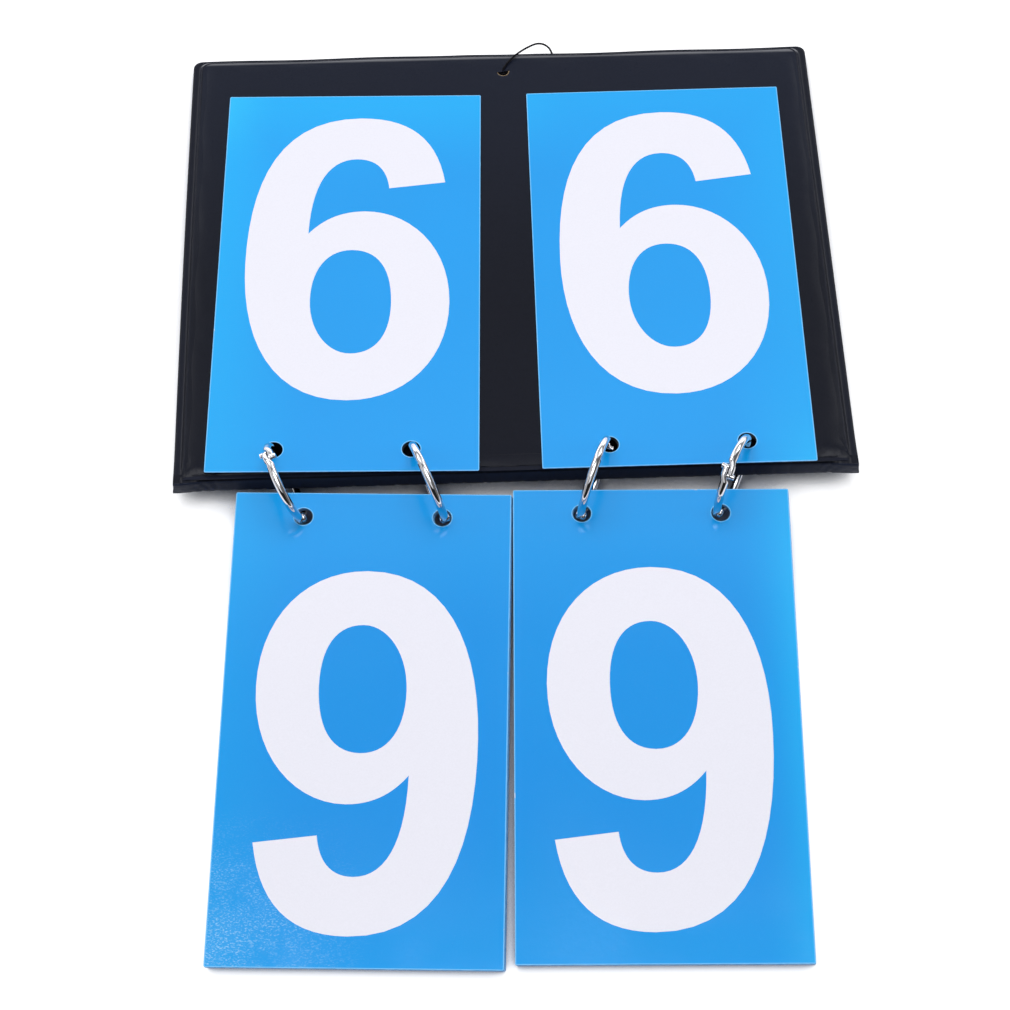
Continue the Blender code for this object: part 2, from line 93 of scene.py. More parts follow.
class CoverLook(bpy.types.PropertyGroup):
    color: FloatVectorProperty(
        name="Sheet", description="Colour of the soft plastic sheet", default=(0.0046, 0.0062, 0.0140), **COLOR)
    grain: FloatProperty(
        name="Grain", description="Size of one cell of the leather grain",
        unit="LENGTH", min=0.0001, max=0.003, default=0.0006)
    crease_gap: FloatProperty(
        name="Crease gap", description="Usual distance between the creases in the spine",
        unit="LENGTH", min=0.002, max=0.03, default=0.0066)


class RingLook(bpy.types.PropertyGroup):
    plating: FloatVectorProperty(
        name="Plating", description="Colour of the plated wire", default=(0.68, 0.68, 0.71), **COLOR)
    polish: FloatProperty(name="Polish", description="Roughness of the plating", min=0.01, max=1.0, default=0.03)


class StringLook(bpy.types.PropertyGroup):
    color: FloatVectorProperty(
        name="Thread", description="Colour of the tie string", default=(0.007, 0.007, 0.009), **COLOR)
    twist: FloatProperty(
        name="Twist", description="Length of one turn of the thread's three strands",
        unit="LENGTH", min=0.0005, max=0.02, default=0.0026)


class StageLook(bpy.types.PropertyGroup):
    floor: FloatVectorProperty(name="Floor", description="Colour of the floor", default=(0.87, 0.89, 0.95), **COLOR)
    key: FloatProperty(
        name="Top light", description="Power of the soft box over the far edge",
        subtype="POWER", min=0.0, default=12.6)
    fill: FloatProperty(
        name="Side light", description="Power of each side soft box", subtype="POWER", min=0.0, default=2.0)
    ambient: FloatProperty(
        name="Ambient", description="Strength of the room's light on surfaces", min=0.0, max=2.0, default=0.46)


LOOKS = {"leaf": LeafLook, "cover": CoverLook, "ring": RingLook, "string": StringLook, "stage": StageLook}


class ScoreboardLook(bpy.types.PropertyGroup):
    leaf: PointerProperty(type=LeafLook)
    cover: PointerProperty(type=CoverLook)
    ring: PointerProperty(type=RingLook)
    string: PointerProperty(type=StringLook)
    stage: PointerProperty(type=StageLook)


def look():
    return bpy.context.scene.scoreboard


# Shader arithmetic
class Wire:
    """A socket that turns Python arithmetic into Math nodes; | takes the larger of two values."""

    def __init__(self, tree, socket):
        self.tree = tree
        self.socket = socket

    def math(self, operation, *others, swap=False):
        node = self.tree.nodes.new("ShaderNodeMath")
        node.operation = operation
        terms = [self, *others]
        for socket, term in zip(node.inputs, terms[::-1] if swap else terms):
            plug(self.tree, socket, term)
        return Wire(self.tree, node.outputs[0])

    def __add__(self, other):
        return self.math("ADD", other)

    def __sub__(self, other):
        return self.math("SUBTRACT", other)

    def __rsub__(self, other):
        return self.math("SUBTRACT", other, swap=True)

    def __mul__(self, other):
        return self.math("MULTIPLY", other)

    def __or__(self, other):
        return self.math("MAXIMUM", other)

    def __abs__(self):
        return self.math("ABSOLUTE")

    __radd__ = __add__
    __rmul__ = __mul__


def plug(tree, socket, value):
    if isinstance(value, (Wire, bpy.types.NodeSocket)):
        tree.links.new(getattr(value, "socket", value), socket)
    elif value is not None:
        if hasattr(value, "__len__") and len(value) == 3 and socket.type == "RGBA":
            value = (*value, 1.0)
        socket.default_value = value


class Recipe:
    """A node tree under construction, and the place that its patterns follow."""

    def __init__(self, tree, place="Object"):
        self.tree = tree
        tree.nodes.clear()
        self.place = self.node("ShaderNodeTexCoord").outputs[place]

    def node(self, kind, settings=None, **inputs):
        """Adds a node, with its settings first and then its sockets' values or links."""
        node = self.tree.nodes.new(kind)
        for key, value in (settings or {}).items():
            setattr(node, key, value)
        for key, value in inputs.items():
            sockets = [s for s in node.inputs if s.identifier == key or s.name.replace(" ", "_") == key]
            if not sockets:
                raise RuntimeError("%s has no socket %s" % (kind, key))
            plug(self.tree, next((s for s in sockets if s.enabled), sockets[0]), value)
        return node

    def wire(self, node, name=0):
        return Wire(self.tree, node.outputs[name])

    def axis(self, name):
        """X, Y or Z of the place."""
        return self.wire(self.node("ShaderNodeSeparateXYZ", None, Vector=self.place), name)

    def noise(self, size, detail=3.0, rough=0.55, stretch=None):
        """Cloudy noise from 0 to 1 with features of that size in metres, squeezed along the axes by stretch."""
        place = self.place
        if stretch:
            place = self.node("ShaderNodeVectorMath", {"operation": "MULTIPLY"}, Vector=place,
                              Vector_001=stretch).outputs[0]
        return self.wire(self.node("ShaderNodeTexNoise", None, Vector=place, Scale=1.0 / size,
                                   Detail=detail, Roughness=rough))

    def ramp(self, value, low, high, start=0.0, end=1.0):
        """Runs smoothly from start to end as value goes from low to high."""
        return self.wire(self.node("ShaderNodeMapRange", {"interpolation_type": "SMOOTHSTEP"}, Value=value,
                                   From_Min=low, From_Max=high, To_Min=start, To_Max=end))

    def open_air(self, samples, reach):
        """1 on an open surface, less where others lie within reach."""
        return self.wire(self.node("ShaderNodeAmbientOcclusion", {"samples": samples}, Distance=reach), "AO")

    def blend(self, share, first, second):
        return self.node("ShaderNodeMix", {"data_type": "RGBA"}, Factor_Float=share,
                         A_Color=first, B_Color=second).outputs[2]

    def mottle(self, share, color, low, high):
        """One colour between two shades of it."""
        return self.blend(share, darker(color, low), darker(color, high))

    def bump(self, height, depth, normal=None, strength=1.0):
        return self.node("ShaderNodeBump", None, Height=height, Distance=depth, Strength=strength,
                         Normal=normal).outputs[0]

    def seen(self):
        """1 for rays that show the room: from the camera, a mirror or glass."""
        camera, mirror, glass = (self.wire(self.node("ShaderNodeLightPath"), "Is %s Ray" % kind)
                                 for kind in ("Camera", "Glossy", "Transmission"))
        return camera | mirror | glass

    def shader(self, color, rough, normal=None, shine=0.5, metal=0.0):
        """A Principled shader, with its constants on its own sockets."""
        return self.node("ShaderNodeBsdfPrincipled", None, Base_Color=color, Roughness=rough, Normal=normal,
                         Specular_IOR_Level=shine, Metallic=metal).outputs[0]

    def finish(self, *parts, **more):
        """Ends in one Principled shader."""
        self.node("ShaderNodeOutputMaterial", None, Surface=self.shader(*parts, **more))

    def output(self, kind, share, first, second):
        """Ends in a mix of two shaders."""
        both = self.node("ShaderNodeMixShader", None, Fac=share, Shader=first, Shader_001=second)
        self.node(kind, None, Surface=both.outputs[0])


# Finishes
def darker(color, share):
    return tuple(value * share for value in color)


def leaf_gloss(mix):
    """Bump of a laminated leaf: orange peel, long waves and crinkles at the worn corners."""
    worn = mix.ramp(mix.axis("Y"), -0.150, -0.186) * mix.ramp(mix.noise(0.045, 2.0), 0.42, 0.66)
    normal = mix.bump(mix.noise(0.060, 1.0), 0.00035)
    normal = mix.bump(mix.noise(0.0035) * (worn * 0.9 + 0.02), 0.00035, normal)
    return mix.bump(mix.noise(0.0011, 2.0), 0.000012, normal, 0.6), worn


def leaf_ink(mix):
    """Blue ink with painted light and shade: deeper over the middle of the lower leaves, paler at the outer sides, the
    far end and two corners, with a speckled painted sheen over the lower left corner.
    """
    x = mix.axis("X")
    y = mix.axis("Y")
    normal, worn = leaf_gloss(mix)
    fleck = mix.noise(0.0006, 2.0)
    ink = look().leaf.ink
    # Painted shade: the ink is deeper over the middle of the lower leaves
    middle_shade = mix.ramp(y, -0.020, -0.070) * mix.ramp(y, -0.192, -0.135)
    color = mix.blend(middle_shade, ink, (ink[0], ink[1] * 0.86, ink[2] * 0.94))
    color = mix.blend(mix.ramp(mix.noise(0.090, 2.0), 0.3, 0.7) * 0.5, color, darker(ink, 0.93))
    # Painted light: the ink is paler toward the outer sides and the far end, and less so at the upper right
    outer = mix.ramp(abs(x), 0.070, 0.112) * mix.ramp(y, -0.16, 0.16, 0.2, 0.6)
    outer = outer + mix.ramp(x, 0.074, 0.114) * mix.ramp(y, 0.02, -0.06) * 0.9
    outer = outer | mix.ramp(y, 0.120, 0.172) * 0.6
    outer = outer * (1.0 - mix.ramp(x, 0.0, 0.03) * mix.ramp(y, 0.0, 0.04) * 0.45)
    color = mix.blend(outer.math("MINIMUM", 1.0), color, (ink[0], ink[1] * 1.42, 1.0))
    # Painted light: lighter at the lower right and the upper left corners
    lit = mix.ramp(x, 0.085, 0.118) * mix.ramp(y, 0.02, -0.06)
    lit = lit + mix.ramp(x, -0.085, -0.112) * mix.ramp(y, 0.13, 0.17)
    color = mix.blend(lit * 0.45, color, (0.03, 0.66, 1.0))
    # Painted sheen: pale specks of reflected light over the lower left corner
    sheen_specks = mix.noise(0.0008, stretch=(1.0, 1.9, 1.0))
    sheen_patch = mix.ramp(x, -0.045, -0.112) * mix.ramp(y, -0.125, -0.172) * mix.ramp(mix.noise(0.011, 2.0), 0.28, 0.60)
    color = mix.blend(sheen_patch * mix.ramp(sheen_specks, 0.50, 0.70, 0.08, 1.0), color, (0.34, 0.68, 1.0))
    color = mix.blend(mix.ramp(fleck, 0.62, 0.8) * 0.10, color, (0.10, 0.46, 0.90))
    mix.finish(color, mix.ramp(fleck, 0.3, 0.7, 0.12, 0.17) + worn * 0.10, normal)


def leaf_digit(mix):
    normal, worn = leaf_gloss(mix)
    fleck = mix.noise(0.0006, 2.0)
    color = mix.mottle(mix.ramp(fleck, 0.25, 0.75), look().leaf.digit, 0.97, 1.0)
    mix.finish(color, mix.ramp(fleck, 0.3, 0.7, 0.14, 0.20) + worn * 0.10, normal)


def leaf_rim(mix):
    """The cut line: a pale line painted along the cut edges and round the holes, a painted highlight where light
    catches the edge, with whiter flecks.
    """
    color = mix.blend(mix.ramp(mix.noise(0.0045), 0.66, 0.74), (0.16, 0.56, 1.0), (0.66, 0.80, 0.97))
    mix.finish(color, 0.34, mix.bump(mix.noise(0.0008), 0.00002), 0.4)


def leaf_core(mix):
    """The side of a leaf: pale core with ink drawn over it by the knife."""
    drag = mix.noise(0.0025, stretch=(1.0, 1.0, 6.0))
    color = mix.blend(mix.ramp(drag, 0.35, 0.65), (0.07, 0.30, 0.66), (0.30, 0.55, 0.86))
    mix.finish(color, 0.5, mix.bump(drag, 0.00002))


def sheet_grain(mix):
    """Leather grain: pressed cells with fine hair lines."""
    size = look().cover.grain
    moved = mix.node("ShaderNodeVectorMath", {"operation": "MULTIPLY_ADD"}, Vector=mix.noise(size * 4.0, 2.0),
                     Vector_001=(size * 1.2,) * 3, Vector_002=mix.place).outputs[0]
    cells = mix.node("ShaderNodeTexVoronoi", {"feature": "DISTANCE_TO_EDGE"}, Vector=moved, Scale=1.0 / size)
    return mix.ramp(mix.wire(cells, "Distance"), 0.02, 0.32), mix.noise(size * 0.35, 2.0)


def plastic_sheet(mix, dull, shine, painted_light=0.0, far_highlight=0.0):
    """The soft sheet: slack waves, folds at the near corners and grain, with painted light: a tone paler toward the far
    edge and lifted by the given share, and a painted highlight along the far edge as strong as asked.
    """
    x = mix.axis("X")
    y = mix.axis("Y")
    pebble, hair = sheet_grain(mix)
    near = mix.ramp(y, 0.006, -0.008)
    corner = near * mix.ramp(abs(x), 0.092, 0.112)
    folds = mix.noise(0.0026, 2.0, stretch=(1.0, 0.35, 1.0))
    normal = mix.bump(mix.noise(0.022, 2.0), 0.0006)
    normal = mix.bump(folds * (corner * 0.6 + near * 0.10), 0.0005, normal)
    normal = mix.bump(pebble + hair * 0.3, 0.000016, normal, 0.6)
    color = look().cover.color
    tone = mix.mottle(mix.ramp(mix.noise(0.030), 0.3, 0.7), color, 0.85, 1.15)
    tone = mix.blend(pebble * 0.25, darker(color, 0.7), tone)
    # Painted light: paler and bluer toward the far edge, and everywhere by the given share, which lifts the fold's
    # shaded tone
    tone = mix.blend(mix.ramp(y, 0.06, 0.19) * 0.5 + painted_light, tone, (0.0115, 0.0160, 0.0330))
    # Painted highlight: a pale band just inside the far edge, where the rolled edge catches the light
    bead = y + x * 0.0049 + hair * 0.0003
    edge = mix.ramp(bead, 0.1830, 0.1847) * mix.ramp(bead, 0.1857, 0.1852)
    tone = mix.blend(edge * far_highlight, tone, (0.26, 0.265, 0.29))
    mix.finish(tone, mix.ramp(hair, 0.3, 0.7, dull, dull + 0.06), normal, shine)


def cover_sheet(mix):
    """The padded face, with a painted highlight along the bead at its far edge."""
    plastic_sheet(mix, 0.27, 0.15, 0.0, 0.75)


def cover_fold(mix):
    """The lower side of the fold, which has gone dull, its tone painted paler to lift the shade on the roll."""
    plastic_sheet(mix, 0.50, 0.12, 0.9)


def weld_rim(mix):
    """The pressed flange: grain flattened by the welding bar."""
    pebble, hair = sheet_grain(mix)
    rule = mix.noise(0.0012, 2.0, stretch=(1.0, 0.15, 1.0))
    normal = mix.bump(rule + pebble * 0.3, 0.00002, mix.bump(mix.noise(0.012, 2.0), 0.0006), 0.5)
    tone = mix.mottle(hair, look().cover.color, 0.7, 1.1)
    mix.finish(tone, mix.ramp(hair, 0.3, 0.7, 0.32, 0.40), normal, 0.17)


def cover_lining(mix):
    """The inner sheet: the same plastic with a finer, flatter grain."""
    pebble, hair = sheet_grain(mix)
    normal = mix.bump(pebble + hair * 0.4, 0.00003, mix.bump(mix.noise(0.030, 2.0), 0.0006), 0.4)
    tone = mix.mottle(mix.ramp(mix.noise(0.020), 0.3, 0.7), look().cover.color, 0.9, 1.2)
    mix.finish(tone, mix.ramp(hair, 0.3, 0.7, 0.50, 0.60), normal, 0.14)


def chipboard(mix):
    """Tan fibres and dark specks at the string's hole; nearly black in the deep ring holes as painted shade."""
    fibre = mix.noise(0.0016, 4.0, 0.7, (1.0, 1.0, 9.0))
    color = mix.blend(mix.ramp(fibre, 0.3, 0.7), (0.20, 0.135, 0.075), (0.42, 0.31, 0.19))
    color = mix.blend(mix.ramp(mix.noise(0.0005, 2.0), 0.64, 0.7) * 0.7, color, (0.10, 0.08, 0.06))
    # Painted shade: nearly black away from the string's hole, in the deep ring holes
    color = mix.blend(mix.ramp(mix.axis("Y"), 0.12, 0.15), (0.012, 0.012, 0.014), color)
    mix.finish(color, 0.92, mix.bump(fibre, 0.00006))


def plated(mix):
    """Bright nickel: faint draw lines along the wire, a few dull marks, and painted shade, nearly black, where it lies
    close to other parts.
    """
    marks = mix.noise(0.0022, 4.0, 0.65)
    polish = look().ring.polish
    plating = look().ring.plating
    color = mix.blend(mix.ramp(marks, 0.5, 0.8), plating, darker(plating, 0.80))
    # Painted shade: nearly black where other parts lie within 8 mm
    color = mix.blend(mix.ramp(mix.open_air(6, 0.0080), 0.20, 0.58), darker(plating, 0.14), color)
    lines = mix.noise(0.0012, 2.0, stretch=(6.0, 0.8, 3.0))
    normal = mix.bump(lines, 0.000003, mix.bump(mix.noise(0.0045, 1.0), 0.00006), 0.5)
    mix.finish(color, mix.ramp(marks, 0.45, 0.80, polish, polish + 0.12), normal, metal=1.0)


def thread(mix):
    fuzz = mix.noise(0.00016, 3.0, 0.7)
    mix.finish(mix.mottle(fuzz, look().string.color, 0.5, 1.4), 0.75, mix.bump(fuzz, 0.00004), 0.10)


def floor_paper(mix):
    """Pale paper that shows white to the camera and to the plating, keeps the lamps' shadow, and has painted shadow
    where other things lie close: a darker, bluer tone and a weaker glow.
    """
    color = look().stage.floor
    # Painted shadow: the floor darker and bluer, and its glow weaker, where other things lie close; less of it away
    # from the board
    open_air = mix.open_air(8, 0.014) + mix.ramp(mix.axis("Y"), -0.03, -0.08) * 0.14
    shade = (color[0] * 0.31, color[1] * 0.335, color[2] * 0.40)
    tone = mix.blend(mix.ramp(open_air, 0.15, 0.68), shade, mix.mottle(mix.noise(0.004), color, 0.99, 1.0))
    glow = mix.node("ShaderNodeEmission", None, Color=(1.0, 1.0, 1.0), Strength=1.5).outputs[0]
    mix.output("ShaderNodeOutputMaterial", mix.seen() * mix.ramp(open_air, 0.47, 0.77, 0.0, 0.60),
               mix.shader(tone, 0.9, None, 0.1), glow)


FINISHES = {make.__name__: make for make in (
    leaf_ink, leaf_digit, leaf_rim, leaf_core, cover_sheet, cover_fold, cover_lining, weld_rim, chipboard, plated,
    thread, floor_paper)}


def finish(name):
    """The material of that name, mixed on first use."""
    made = bpy.data.materials.get(name + "_finish")
    if made is None:
        made = bpy.data.materials.new(name + "_finish")
        made.use_nodes = True
        FINISHES[name](Recipe(made.node_tree))
    return made


# Meshes and places
def put(name, data):
    """A new object of that name in the scene."""
    obj = bpy.data.objects.new(name, data)
    bpy.context.scene.collection.objects.link(obj)
    return obj


def piece(name, bm, finishes, node, slot, shade):
    """Puts a mesh in the scene. With a CAD node it takes the node's place and rides on its body."""
    old = bpy.data.objects.get(name)
    if old is not None:
        bpy.data.objects.remove(old, do_unlink=True)
    bmesh.ops.recalc_face_normals(bm, faces=bm.faces)
    mesh = bpy.data.meshes.new(name)
    bm.to_mesh(mesh)
    bm.free()
    for made in finishes:
        mesh.materials.append(finish(made))
    mesh.polygons.foreach_set("use_smooth", [True] * len(mesh.polygons))
    mesh.set_sharp_from_angle(angle=math.radians(shade))
    obj = put(name, mesh)
    if node is not None:
        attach(obj, BODY_OF[node])
        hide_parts(node)
    return obj


def placed(x, y, z, origin):
    """The matrix with these axes and this origin."""
    return Matrix([[x[i], y[i], z[i], origin[i]] for i in range(3)] + [[0.0, 0.0, 0.0, 1.0]])


# Points this near a plate's sides belong to its outline, and points this near each other to one hole
HOLE_MARGIN = 3.3 * MM
HOLE_STEP = 2.5 * MM


class Plate:
    """The frame of a flat CAD node: middle of its hole edge, X to the right, Y along it and Z across it."""

    def __init__(self, node, upward):
        points = np.array([vert.co for vert in NODES[node].data.vertices], float)
        points = np.unique(np.round(points, 7), axis=0)
        middle = points.mean(0)
        leaf = "leaf" in node
        axes = np.linalg.svd(points - middle, full_matrices=False)[2]
        z = axes[2] * (1.0 if axes[2][2] * upward > 0 else -1.0)
        y = axes[0] if abs(axes[0][1]) > abs(axes[0][0]) else axes[1]
        if abs(y[0]) < 0.2 and not leaf:
            y = np.cross(z, (1.0, 0.0, 0.0))
        y = y / np.linalg.norm(y)
        y = y * (1.0 if y[1] > 0 else -1.0)
        if leaf and (points @ y).max() + (points @ y).min() < 2 * (middle @ y):
            y = -y
        self.axes = np.array([np.cross(y, z), y, z])
        local = points @ self.axes.T
        low = local.min(0)
        high = local.max(0)
        base = np.array([(low[0] + high[0]) / 2, low[1], low[2]])
        self.size = high - low
        self.points = local - base
        self.matrix = placed(*self.axes, self.axes.T @ base)

    def holes(self):
        """Middle and radius of each hole, from the points that lie inside the outline."""
        groups = []
        for p in self.points[:, :2]:
            if abs(p[0]) >= self.size[0] / 2 - HOLE_MARGIN:
                continue
            near = [g for g in groups if min(np.hypot(*(np.array(g) - p).T)) < HOLE_STEP]
            merged = [p] + [q for g in near for q in g]
            groups = [g for g in groups if not any(g is n for n in near)] + [merged]
        found = []
        for group in groups:
            middle = (np.min(group, axis=0) + np.max(group, axis=0)) / 2
            found.append((middle[0], middle[1], float(np.mean(np.hypot(*(np.array(group) - middle).T)))))
        return sorted(found)

    def settle(self, bm, name, *described):
        """Joins doubled points and puts the mesh where the node lies."""
        bmesh.ops.remove_doubles(bm, verts=bm.verts, dist=WELD)
        bm.transform(self.matrix)
        piece(name, bm, *described)


def circle(x, y, r, count=32):
    return [(x + r * math.cos(2 * math.pi * i / count), y + r * math.sin(2 * math.pi * i / count))
            for i in range(count)]


def row_at(bm, loop, z):
    return [bm.verts.new((x, y, z)) for x, y in loop]


def skin(bm, rows, kind=0, capped=False):
    """Faces between neighbouring rows of points, and over both ends if capped."""
    for lower, upper in zip(rows, rows[1:]):
        for i in range(len(lower)):
            k = (i + 1) % len(lower)
            bm.faces.new((lower[i], lower[k], upper[k], upper[i])).material_index = kind
    if capped:
        bm.faces.new(rows[0])
        bm.faces.new(rows[-1])


def odd_inside(points, loops):
    """Whether each point lies inside an odd number of the closed loops."""
    inside = np.zeros(len(points), bool)
    for loop in loops:
        a = np.array(loop)
        for (x0, y0), (x1, y1) in zip(a, np.roll(a, -1, axis=0)):
            if y0 != y1:
                spans = (points[:, 1] < y0) != (points[:, 1] < y1)
                inside ^= spans & (points[:, 0] < x0 + (points[:, 1] - y0) * (x1 - x0) / (y1 - y0))
    return inside


def flat_side(bm, loops, extra, classify, place):
    """Triangles between loops of points, each with the material that classify gives, or none below 0."""
    coords = []
    edges = []
    for loop in loops:
        first = len(coords)
        coords += [Vector(p) for p in loop]
        edges += [(first + i, first + (i + 1) % len(loop)) for i in range(len(loop))]
    coords += [Vector(p) for p in extra]
    flat, _, faces = delaunay_2d_cdt(coords, edges, [], 0, 1e-7)[:3]
    middles = np.array([sum((flat[i] for i in face), Vector((0.0, 0.0))) / len(face) for face in faces])
    verts = {}
    for face, kind in zip(faces, classify(middles)):
        if kind < 0:
            continue
        for i in face:
            if i not in verts:
                verts[i] = bm.verts.new(place(flat[i].x, flat[i].y))
        bm.faces.new([verts[i] for i in face]).material_index = int(kind)


# Digits, drawn in millimetres from the middle of the hole edge, with the holes at the top
def oval(x, y, rx, ry, square=0.58):
    hx = rx * square
    hy = ry * square
    return [(x, y - ry), (x + hx, y - ry, x + rx, y - hy, x + rx, y), (x + rx, y + hy, x + hx, y + ry, x, y + ry),
            (x - hx, y + ry, x - rx, y + hy, x - rx, y), (x - rx, y - hy, x - hx, y - ry, x, y - ry)]


NINE = [
    [(-35.2, 129.8), (-32.0, 150.8, -21.7, 161.5, -2.7, 161.5), (28.6, 161.5, 38.6, 131.2, 38.6, 92.4),
     (38.6, 57.4, 26.5, 30.3, -0.8, 30.3), (-22.0, 30.3, -37.3, 47.7, -37.3, 73.8),
     (-37.3, 99.4, -22.0, 116.1, -5.1, 116.1), (5.2, 116.1, 11.3, 111.1, 15.7, 105.7),
     (15.2, 130.4, 8.6, 141.3, -1.6, 141.3), (-9.4, 141.3, -13.2, 135.4, -14.1, 127.1)],
    [(-1.5, 50.8), (6.9, 50.8, 14.0, 61.4, 14.0, 75.1), (14.0, 88.7, 8.6, 97.9, -0.8, 97.9),
     (-10.9, 97.9, -15.9, 88.5, -15.9, 73.5), (-15.9, 59.2, -10.9, 50.8, -1.5, 50.8)],
]
DIGITS = {
    0: [oval(0, 96, 37.8, 65.8, 0.60), oval(0, 96, 14.2, 45.2, 0.62)],
    1: [[(23, 160.2), (-1.5, 160.2), (-1.5, 72), (-28, 72), (-28, 55), (-10, 55, 1, 48, 4, 31.5), (23, 31.5)]],
    2: [[(-35.5, 78), (-35.5, 46, -20, 30.2, 1, 30.2), (22, 30.2, 36.5, 46, 36.5, 68),
         (36.5, 102, -2, 112, -7, 139.5), (37, 139.5), (37, 160.2), (-36.5, 160.2),
         (-36.5, 108, 12.5, 100, 12.5, 69.5), (12.5, 58, 8, 50.8, 0.5, 50.8),
         (-8, 50.8, -12.5, 59, -12.5, 78)]],
    3: [[(-36, 68), (-35, 44, -20, 30.2, 0, 30.2), (20, 30.2, 35, 43, 35, 63), (35, 78, 28, 88, 18, 92.5),
         (30, 97, 38, 108, 38, 123), (38, 147, 22, 161.8, 0, 161.8), (-22, 161.8, -37, 148, -38, 122),
         (-14.5, 122), (-14, 134, -9, 141.5, 0, 141.5), (9, 141.5, 14, 134, 14, 122.5),
         (14, 108, 7, 102.5, -7, 102.5), (-7, 84.5), (6, 84.5, 12, 78.5, 12, 67),
         (12, 57, 7.5, 50.6, 0, 50.6), (-8, 50.6, -12.5, 58, -12.8, 68)]],
    4: [[(27, 160.2), (4, 160.2), (4, 133), (-39, 133), (-39, 112.5), (1, 31.5), (27, 31.5), (27, 113.5),
         (39, 113.5), (39, 133), (27, 133)], [(4, 62), (-20, 113.5), (4, 113.5)]],
    5: [[(31, 31.5), (31, 52), (-10.5, 52), (-13, 79.5), (-8, 74, -1, 71.5, 6, 71.5),
         (25, 71.5, 37.5, 90, 37.5, 116), (37.5, 144, 22, 161.8, -1, 161.8), (-22, 161.8, -36.5, 148, -38, 124),
         (-14.5, 122), (-13.5, 134, -8.5, 141.3, -1, 141.3), (8.5, 141.3, 13.5, 132, 13.5, 116.5),
         (13.5, 100.5, 8.5, 91, -1, 91), (-7, 91, -12, 94.5, -14.5, 101), (-35, 98.5), (-27.5, 31.5)]],
    6: [[tuple((1.2 if i % 2 == 0 else 192.0) - value for i, value in enumerate(step)) for step in loop]
        for loop in NINE],
    7: [[(-36.5, 31.5), (37, 31.5), (37, 48.5), (18, 72, 3, 112, 0, 160.2), (-25.5, 160.2),
         (-23, 116, -6, 78, 12, 53), (-36.5, 53)]],
    8: [[(0, 30.2), (20, 30.2, 34.5, 43, 34.5, 63), (34.5, 77, 28, 87.5, 17.5, 92), (30, 97, 38, 108.5, 38, 124),
         (38, 147, 23, 161.8, 0, 161.8), (-23, 161.8, -38, 147, -38, 124), (-38, 108.5, -30, 97, -17.5, 92),
         (-28, 87.5, -34.5, 77, -34.5, 63), (-34.5, 43, -20, 30.2, 0, 30.2)],
        oval(0, 66.5, 11.8, 17), oval(0, 122, 14.6, 20)],
    9: NINE,
}


def trace(loop, steps=14):
    """The points of a digit's outline: straight to a pair, curved through six numbers."""
    points = [Vector(loop[0])]
    for step in loop[1:]:
        if len(step) == 2:
            points.append(Vector(step))
            continue
        a = points[-1]
        b, c, d = Vector(step[0:2]), Vector(step[2:4]), Vector(step[4:6])
        for i in range(1, steps + 1):
            t = i / steps
            points.append(a * (1 - t) ** 3 + b * 3 * t * (1 - t) ** 2 + c * 3 * t * t * (1 - t) + d * t ** 3)
    if (points[0] - points[-1]).length < 1e-6:
        points.pop()
    return points


LEAF_CORNER = 0.6 * MM
LEAF_BEVEL = 0.05 * MM
LEAF_COUNT = 10
# Materials of a leaf, in the order of their numbers
LEAF_KINDS = ("leaf_ink", "leaf_digit", "leaf_rim", "leaf_core")


def leaf_piece(node, upper, lower, curl=None):
    """A printed leaf in place of its CAD node: upper and lower are its digits, or None for a blank side."""
    plate = Plate(node, 1.0)
    width, height, thick = plate.size
    rim = look().leaf.rim
    holes = plate.holes()

    def outline(inset):
        points = []
        for side, y, start in ((-1, LEAF_CORNER, 180), (1, LEAF_CORNER, 270),
                               (1, height - LEAF_CORNER, 0), (-1, height - LEAF_CORNER, 90)):
            points += [(side * (width / 2 - LEAF_CORNER) + (LEAF_CORNER - inset) * math.cos(angle),
                        y + (LEAF_CORNER - inset) * math.sin(angle))
                       for angle in (math.radians(start + 30 * i) for i in range(4))]
        return points

    outer = outline(LEAF_BEVEL)
    inner = outline(LEAF_BEVEL + rim)
    rounds = [circle(x, y, r + LEAF_BEVEL) for x, y, r in holes]
    wide = [circle(x, y, r + LEAF_BEVEL + rim) for x, y, r in holes]
    grid = [((i / 9 - 0.5) * width, j / 16 * height) for i in range(1, 9) for j in range(1, 16)] if curl else []
    bm = bmesh.new()
    for z, hand, digit in ((thick, -MM, upper), (0.0, MM, lower)):
        marks = [[(hand * p.x, p.y * MM) for p in trace(loop)] for loop in DIGITS.get(digit, ())]

        def classify(points):
            kinds = np.zeros(len(points), int)
            kinds[odd_inside(points, marks)] = 1
            # Kind 2 is the cut line, a painted highlight
            kinds[~odd_inside(points, [inner])] = 2
            kinds[odd_inside(points, wide)] = 2
            kinds[odd_inside(points, rounds)] = -1
            return kinds

        flat_side(bm, [outer, inner, *rounds, *wide, *marks], grid, classify, lambda x, y: (x, y, z))
    steps = [(0.0, LEAF_BEVEL), (LEAF_BEVEL, 0.0), (thick - LEAF_BEVEL, 0.0), (thick, LEAF_BEVEL)]
    skin(bm, [row_at(bm, outline(inset), z) for z, inset in steps], 3)
    for x, y, r in holes:
        skin(bm, [row_at(bm, circle(x, y, r + inset), z) for z, inset in steps], 3)
    bmesh.ops.remove_doubles(bm, verts=bm.verts, dist=WELD)
    if curl:
        for vert in bm.verts:
            vert.co.z += curl(vert.co.x / width, vert.co.y / height)
    bm.transform(plate.matrix)
    return piece(node + "_print", bm, LEAF_KINDS, node, "leaf_blue", 40.0)


# The camera: its lens and place in millimetres, and its pitch, heading and roll in degrees
CAMERA_LENS = 91.75
CAMERA_PLACE = (-11.2, -456.3, 803.3)
CAMERA_TURN = (61.13, 0.9, -0.92)


